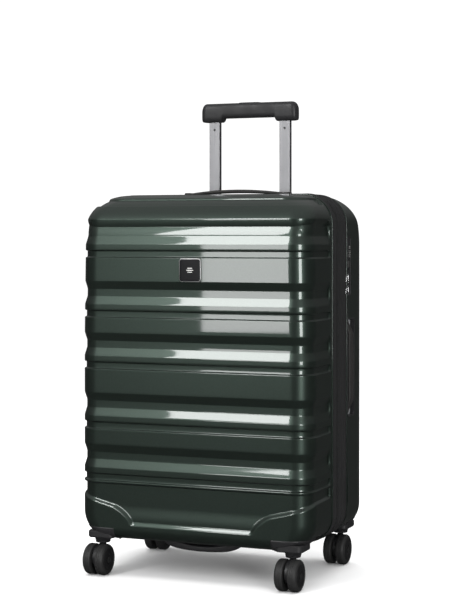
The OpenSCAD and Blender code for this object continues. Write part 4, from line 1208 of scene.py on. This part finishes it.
def make_finishes(settings):
    """All finishes of the case, by name."""
    green = tuple(settings.shell_colour)
    weave = [("X", 420.0, 0.35, 0.0004), ("Z", 420.0, 0.35, 0.0004), ("Y", 420.0, 0.3, 0.0004)]
    grain = [("noise", 900.0, 0.25, 0.0003)]
    FINISHES.update({
        "shell": finish("shell_green_gloss", green, settings.shell_roughness, metal=0.9,
                        coat=1.0, coat_rough=0.035,
                        mottle=(420.0, tuple(c * 1.3 for c in green)),
                        bumps=[("noise", 160.0, 0.05, 0.0003)]),
        "piping": finish("piping_gloss", green, 0.3, metal=0.9, coat=1.0),
        "band": finish("band_weave", (0.006, 0.006, 0.0065), 0.9, bumps=weave,
                       mottle=(30.0, (0.009, 0.009, 0.0095))),
        "thread": finish("band_thread", (0.009, 0.009, 0.0095), 0.8, bumps=grain),
        "zip": finish("zip_coil", (0.008, 0.008, 0.0085), 0.55, bumps=grain,
                      wear=(60.0, 0.48, 0.68)),
        "chrome": finish("chrome_polish", (0.78, 0.78, 0.79), 0.12, metal=1.0,
                         wear=(90.0, 0.08, 0.2)),
        "enamel": finish("badge_enamel", (0.004, 0.004, 0.0045), 0.3, specular=0.1,
                         mottle=(300.0, (0.007, 0.007, 0.008))),
        "dial": finish("dial_satin", (0.62, 0.62, 0.6), 0.3, metal=1.0,
                       bumps=[("noise", (40.0, 40.0, 1800.0), 0.2, 0.0002)]),
        "plastic": finish("black_plastic", (0.012, 0.012, 0.013), 0.42, bumps=grain,
                          wear=(70.0, 0.36, 0.52)),
        "rubber": finish("soft_rubber", (0.016, 0.015, 0.014), 0.6,
                         bumps=[("noise", 700.0, 0.3, 0.0003)], wear=(40.0, 0.5, 0.7)),
        "lining": finish("lining_weave", (0.10, 0.105, 0.11), 0.8, sheen=0.3,
                         bumps=[("X", 260.0, 0.4, 0.0004), ("Z", 260.0, 0.4, 0.0004)],
                         mottle=(18.0, (0.14, 0.145, 0.15))),
        "aluminium": finish("tube_brushed", (0.30, 0.30, 0.31), 0.42, metal=1.0,
                            bumps=[("noise", (1500.0, 1500.0, 14.0), 0.12, 0.0002)],
                            wear=((300.0, 300.0, 6.0), 0.36, 0.5)),
        "steel": finish("steel_satin", (0.5, 0.5, 0.5), 0.35, metal=1.0, wear=(200.0, 0.25, 0.45)),
        "dark": finish("dark_pin", (0.03, 0.03, 0.03), 0.4, metal=0.6, bumps=grain),
        "grip": finish("grip_satin", (0.014, 0.014, 0.015), 0.42, specular=0.35,
                       wear=(50.0, 0.36, 0.5),
                       bumps=[("noise", 800.0, 0.2, 0.0003)]),
        "button": finish("button_satin", (0.05, 0.05, 0.053), 0.42, bumps=grain),
        "tyre": finish("tyre_rubber", (0.012, 0.012, 0.012), 0.55, wear=(80.0, 0.45, 0.65),
                       bumps=grain),
        "hub": finish("hub_plastic", (0.006, 0.006, 0.0065), 0.45, bumps=grain),
    })


CAD_LOOKS = {
    "band": ("hinge_tape", "cross_straps"),
    "plastic": ("strap_buckle", "lock_case", "side_handle_cup", "carry_handle_mounts",
                "trolley_bezel", "trolley_foot", "middle_tube_collars"),
    "dial": ("lock_cylinder",),
    "aluminium": ("outer_tubes", "middle_tubes", "inner_tubes"),
    "steel": ("push_rods",),
    "dark": ("housing_screws_front", "housing_screws_rear") +
            tuple("axle_" + name for name, _, _ in CORNERS),
}


def dress_cad():
    """Gives each CAD node that stays in view its finish."""
    for look, nodes in CAD_LOOKS.items():
        for node in nodes:
            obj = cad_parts[node]
            for index in range(len(obj.data.materials)):
                obj.data.materials[index] = FINISHES[look]


# ---------------------------------------------------------------- stage

def softbox(name, place, aim, size, power, colour=(1, 1, 1)):
    """An area light at a place, turned to its aim."""
    light = bpy.data.lights.new(name, "AREA")
    light.shape = "RECTANGLE"
    light.size, light.size_y = size
    light.energy = power
    light.color = colour
    obj = bpy.data.objects.new(name, light)
    obj.location = place
    direction = Vector(aim) - Vector(place)
    obj.rotation_euler = direction.to_track_quat("-Z", "Y").to_euler()
    bpy.context.scene.collection.objects.link(obj)
    return obj


def build_stage(settings):
    """Flat pale floor, an even surround that mirrors dark, softboxes, the camera."""
    scene = bpy.context.scene
    reach, cells = 30, 25
    line = np.linspace(-reach, reach, cells)
    points = np.zeros((cells, cells, 3))
    points[..., 0] = line
    points[..., 1] = line[:, None]
    index = np.arange(cells * cells).reshape(cells, cells)
    quads = np.stack([index[:-1, :-1], index[:-1, 1:], index[1:, 1:], index[1:, :-1]], -1)
    mesh = bpy.data.meshes.new("studio_floor")
    mesh.from_pydata(points.reshape(-1, 3).tolist(), [], quads.reshape(-1, 4).tolist())
    mesh.polygons.foreach_set("use_smooth", np.ones(len(mesh.polygons), dtype=bool))
    floor = bpy.data.objects.new("studio_floor", mesh)
    scene.collection.objects.link(floor)
    mesh.materials.append(finish("studio_floor", tuple(settings.floor_colour), 0.9, specular=0.0))
    floor.visible_glossy = False

    world = bpy.data.worlds.new("studio")
    scene.world = world
    world.use_nodes = True
    nodes, links = world.node_tree.nodes, world.node_tree.links
    back = nodes["Background"]
    place = nodes.new("ShaderNodeTexCoord")
    split = nodes.new("ShaderNodeSeparateXYZ")
    ramp = nodes.new("ShaderNodeMapRange")
    ramp.inputs["From Min"].default_value = 0.1
    ramp.inputs["From Max"].default_value = 0.9
    ramp.inputs["To Min"].default_value = settings.reflected_low
    ramp.inputs["To Max"].default_value = settings.reflected_high
    rays = nodes.new("ShaderNodeLightPath")
    mix = nodes.new("ShaderNodeMix")
    mix.data_type = "RGBA"
    mix.inputs[6].default_value = (1, 1, 1, 1)
    links.new(place.outputs["Generated"], split.inputs["Vector"])
    links.new(split.outputs["Z"], ramp.inputs["Value"])
    links.new(rays.outputs["Is Glossy Ray"], mix.inputs[0])
    links.new(ramp.outputs["Result"], mix.inputs[7])
    links.new(mix.outputs[2], back.inputs["Color"])
    back.inputs["Strength"].default_value = settings.world_strength

    softbox("panel_front_left", (-0.975, -2.9, 0.78), (0.0, 0, 0.6), (0.375, 1.04), 11)
    softbox("strip_front_left", (-1.02, -2.5, 2.1), (0.0, 0, 0.4), (0.46, 1.4), 30)
    softbox("edge_strip", (3.4, -3.6, 1.1), (0.2, 0, 0.4), (1.3, 2.2), 105)
    top = softbox("top", (0.0, 0.2, 3.0), (0, 0.1, 0), (2.6, 2.6), 60)
    top.visible_glossy = False

    camera = bpy.data.cameras.new("camera")
    camera.lens = settings.lens
    camera.sensor_width = 36.0
    camera.shift_y = -0.1067
    camera.clip_end = 100
    obj = bpy.data.objects.new("camera", camera)
    obj.location = (1.146, -2.731, 0.608)
    obj.rotation_euler = (math.radians(90), 0, math.radians(22.642))
    scene.collection.objects.link(obj)
    scene.camera = obj
    scene.view_settings.view_transform = "Standard"


# ---------------------------------------------------------------- settings and operators

class SuitcaseShellSettings(bpy.types.PropertyGroup):
    groove_depth: bpy.props.FloatProperty(
        name="Groove depth", description="Depth of the narrow grooves, in millimetres",
        default=3.5, min=0.5, max=6.0)
    recess_depth: bpy.props.FloatProperty(
        name="Recess depth", description="Depth of the wide recesses, in millimetres",
        default=4.5, min=0.5, max=6.0)
    wall: bpy.props.FloatProperty(
        name="Rim thickness", description="Thickness of the shell at its rim, in millimetres",
        default=2.2, min=1.0, max=4.0)
    barrel: bpy.props.FloatProperty(
        name="Shoulder taper", description="How far each side draws in at the top, millimetres",
        default=2.7, min=0.0, max=5.0)


class SuitcaseZipSettings(bpy.types.PropertyGroup):
    tooth_pitch: bpy.props.FloatProperty(
        name="Tooth pitch", description="Distance between two zip teeth, in millimetres",
        default=2.2, min=1.2, max=4.0)


class SuitcaseFinishSettings(bpy.types.PropertyGroup):
    shell_colour: bpy.props.FloatVectorProperty(
        name="Shell colour", description="Base colour of both shells", subtype="COLOR",
        default=(0.036, 0.050, 0.042), min=0.0, max=1.0)
    shell_roughness: bpy.props.FloatProperty(
        name="Shell roughness", description="Roughness under the clear coat",
        default=0.36, min=0.0, max=1.0, subtype="FACTOR")


class SuitcaseStageSettings(bpy.types.PropertyGroup):
    floor_colour: bpy.props.FloatVectorProperty(
        name="Floor colour", description="Colour of the floor", subtype="COLOR",
        default=(0.93, 0.93, 0.93), min=0.0, max=1.0)
    world_strength: bpy.props.FloatProperty(
        name="Surround", description="Strength of the even light from all round", default=1.1,
        min=0.0, max=4.0)
    reflected_low: bpy.props.FloatProperty(
        name="Low surround", description="How bright the surround is in reflections, level with "
        "the case", default=0.03, min=0.0, max=1.0, subtype="FACTOR")
    reflected_high: bpy.props.FloatProperty(
        name="High surround", description="How bright the surround is in reflections, overhead",
        default=0.34, min=0.0, max=1.0, subtype="FACTOR")
    lens: bpy.props.FloatProperty(
        name="Lens", description="Focal length of the camera", default=97.01, min=20.0,
        max=300.0, subtype="DISTANCE_CAMERA")


class SUITCASE_OT_finishes(bpy.types.Operator):
    """Makes the finishes and puts them on the CAD pieces that stay in view"""
    bl_idname = "suitcase.finishes"
    bl_label = "Finishes"

    def execute(self, context):
        make_finishes(context.scene.suitcase_finish)
        dress_cad()
        return {"FINISHED"}


class SUITCASE_OT_shells(bpy.types.Operator):
    """Builds the two ribbed shells and their linings"""
    bl_idname = "suitcase.shells"
    bl_label = "Shells"

    def execute(self, context):
        build_front_shell(context.scene.suitcase_shell, FINISHES["shell"])
        build_rear_shell(context.scene.suitcase_shell, FINISHES["shell"])
        build_lining(FRONT, "front_lining", "front_case", FINISHES["lining"])
        build_lining(REAR, "rear_lining", "rear_case", FINISHES["lining"])
        return {"FINISHED"}


class SUITCASE_OT_band(bpy.types.Operator):
    """Builds the fabric band, its stitches, its zip and the rims' piping"""
    bl_idname = "suitcase.band"
    bl_label = "Band"

    def execute(self, context):
        build_band(FINISHES)
        return {"FINISHED"}


class SUITCASE_OT_main_zip(bpy.types.Operator):
    """Builds both halves of the main zip"""
    bl_idname = "suitcase.main_zip"
    bl_label = "Main zip"

    def execute(self, context):
        build_main_zip(context.scene.suitcase_zip, FINISHES)
        return {"FINISHED"}


class SUITCASE_OT_pulls(bpy.types.Operator):
    """Builds the zip sliders and their pull tabs"""
    bl_idname = "suitcase.pulls"
    bl_label = "Zip pulls"

    def execute(self, context):
        build_pulls(FINISHES)
        return {"FINISHED"}


class SUITCASE_OT_badge(bpy.types.Operator):
    """Builds the badge with its plain mark"""
    bl_idname = "suitcase.badge"
    bl_label = "Badge"

    def execute(self, context):
        build_badge(FINISHES)
        return {"FINISHED"}


class SUITCASE_OT_bottom_grip(bpy.types.Operator):
    """Builds the bottom grip"""
    bl_idname = "suitcase.bottom_grip"
    bl_label = "Bottom grip"

    def execute(self, context):
        build_bottom_grip(FINISHES)
        return {"FINISHED"}


class SUITCASE_OT_lock(bpy.types.Operator):
    """Builds the lock's dials, button and trims"""
    bl_idname = "suitcase.lock"
    bl_label = "Lock"

    def execute(self, context):
        build_lock(FINISHES)
        return {"FINISHED"}


class SUITCASE_OT_side_handle(bpy.types.Operator):
    """Builds the side handle and the lip of its cup"""
    bl_idname = "suitcase.side_handle"
    bl_label = "Side handle"

    def execute(self, context):
        build_side_handle(FINISHES)
        return {"FINISHED"}


class SUITCASE_OT_carry_handle(bpy.types.Operator):
    """Builds the carry handle and the rims of its sockets"""
    bl_idname = "suitcase.carry_handle"
    bl_label = "Carry handle"

    def execute(self, context):
        build_carry_handle(FINISHES)
        return {"FINISHED"}


class SUITCASE_OT_trolley(bpy.types.Operator):
    """Builds the telescopic handle's grip, button, spring and trims"""
    bl_idname = "suitcase.trolley"
    bl_label = "Telescopic handle"

    def execute(self, context):
        build_trolley(FINISHES)
        return {"FINISHED"}


class SUITCASE_OT_casters(bpy.types.Operator):
    """Builds the four casters: plates, forks and wheels"""
    bl_idname = "suitcase.casters"
    bl_label = "Casters"

    def execute(self, context):
        for name, sx, sy in CORNERS:
            build_plate(name, sx, sy, FINISHES)
            build_fork(name, FINISHES)
            for side in "ab":
                build_wheel("wheel_%s_%s" % (name, side), FINISHES)
        return {"FINISHED"}


class SUITCASE_OT_stage(bpy.types.Operator):
    """Builds the floor, the lights and the camera"""
    bl_idname = "suitcase.stage"
    bl_label = "Stage"

    def execute(self, context):
        build_stage(context.scene.suitcase_stage)
        return {"FINISHED"}


STEPS = ("finishes", "shells", "band", "main_zip", "pulls", "badge", "bottom_grip", "lock",
         "side_handle", "carry_handle", "trolley", "casters", "stage")
GROUPS = {"suitcase_shell": SuitcaseShellSettings, "suitcase_zip": SuitcaseZipSettings,
          "suitcase_finish": SuitcaseFinishSettings, "suitcase_stage": SuitcaseStageSettings}


class SUITCASE_PT_panel(bpy.types.Panel):
    """Lists the settings and the steps"""
    bl_idname = "SUITCASE_PT_panel"
    bl_label = "Suitcase"
    bl_space_type = "VIEW_3D"
    bl_region_type = "UI"
    bl_category = "Suitcase"

    def draw(self, context):
        for name, group in GROUPS.items():
            box = self.layout.box()
            for key in group.__annotations__:
                box.prop(getattr(context.scene, name), key)
        for step in STEPS:
            self.layout.operator("suitcase." + step)


OPERATORS = (SUITCASE_OT_finishes, SUITCASE_OT_shells, SUITCASE_OT_band, SUITCASE_OT_main_zip,
             SUITCASE_OT_pulls, SUITCASE_OT_badge, SUITCASE_OT_bottom_grip, SUITCASE_OT_lock,
             SUITCASE_OT_side_handle, SUITCASE_OT_carry_handle, SUITCASE_OT_trolley,
             SUITCASE_OT_casters, SUITCASE_OT_stage)


def register():
    for group in GROUPS.values():
        bpy.utils.register_class(group)
    for name, group in GROUPS.items():
        setattr(bpy.types.Scene, name, bpy.props.PointerProperty(type=group))
    for item in OPERATORS + (SUITCASE_PT_panel,):
        bpy.utils.register_class(item)


def unregister():
    for item in reversed(OPERATORS + (SUITCASE_PT_panel,)):
        bpy.utils.unregister_class(item)
    for name in GROUPS:
        delattr(bpy.types.Scene, name)
    for group in reversed(tuple(GROUPS.values())):
        bpy.utils.unregister_class(group)


def main():
    register()
    for step in STEPS:
        getattr(bpy.ops.suitcase, step)()


if __name__ == "__main__":
    main()
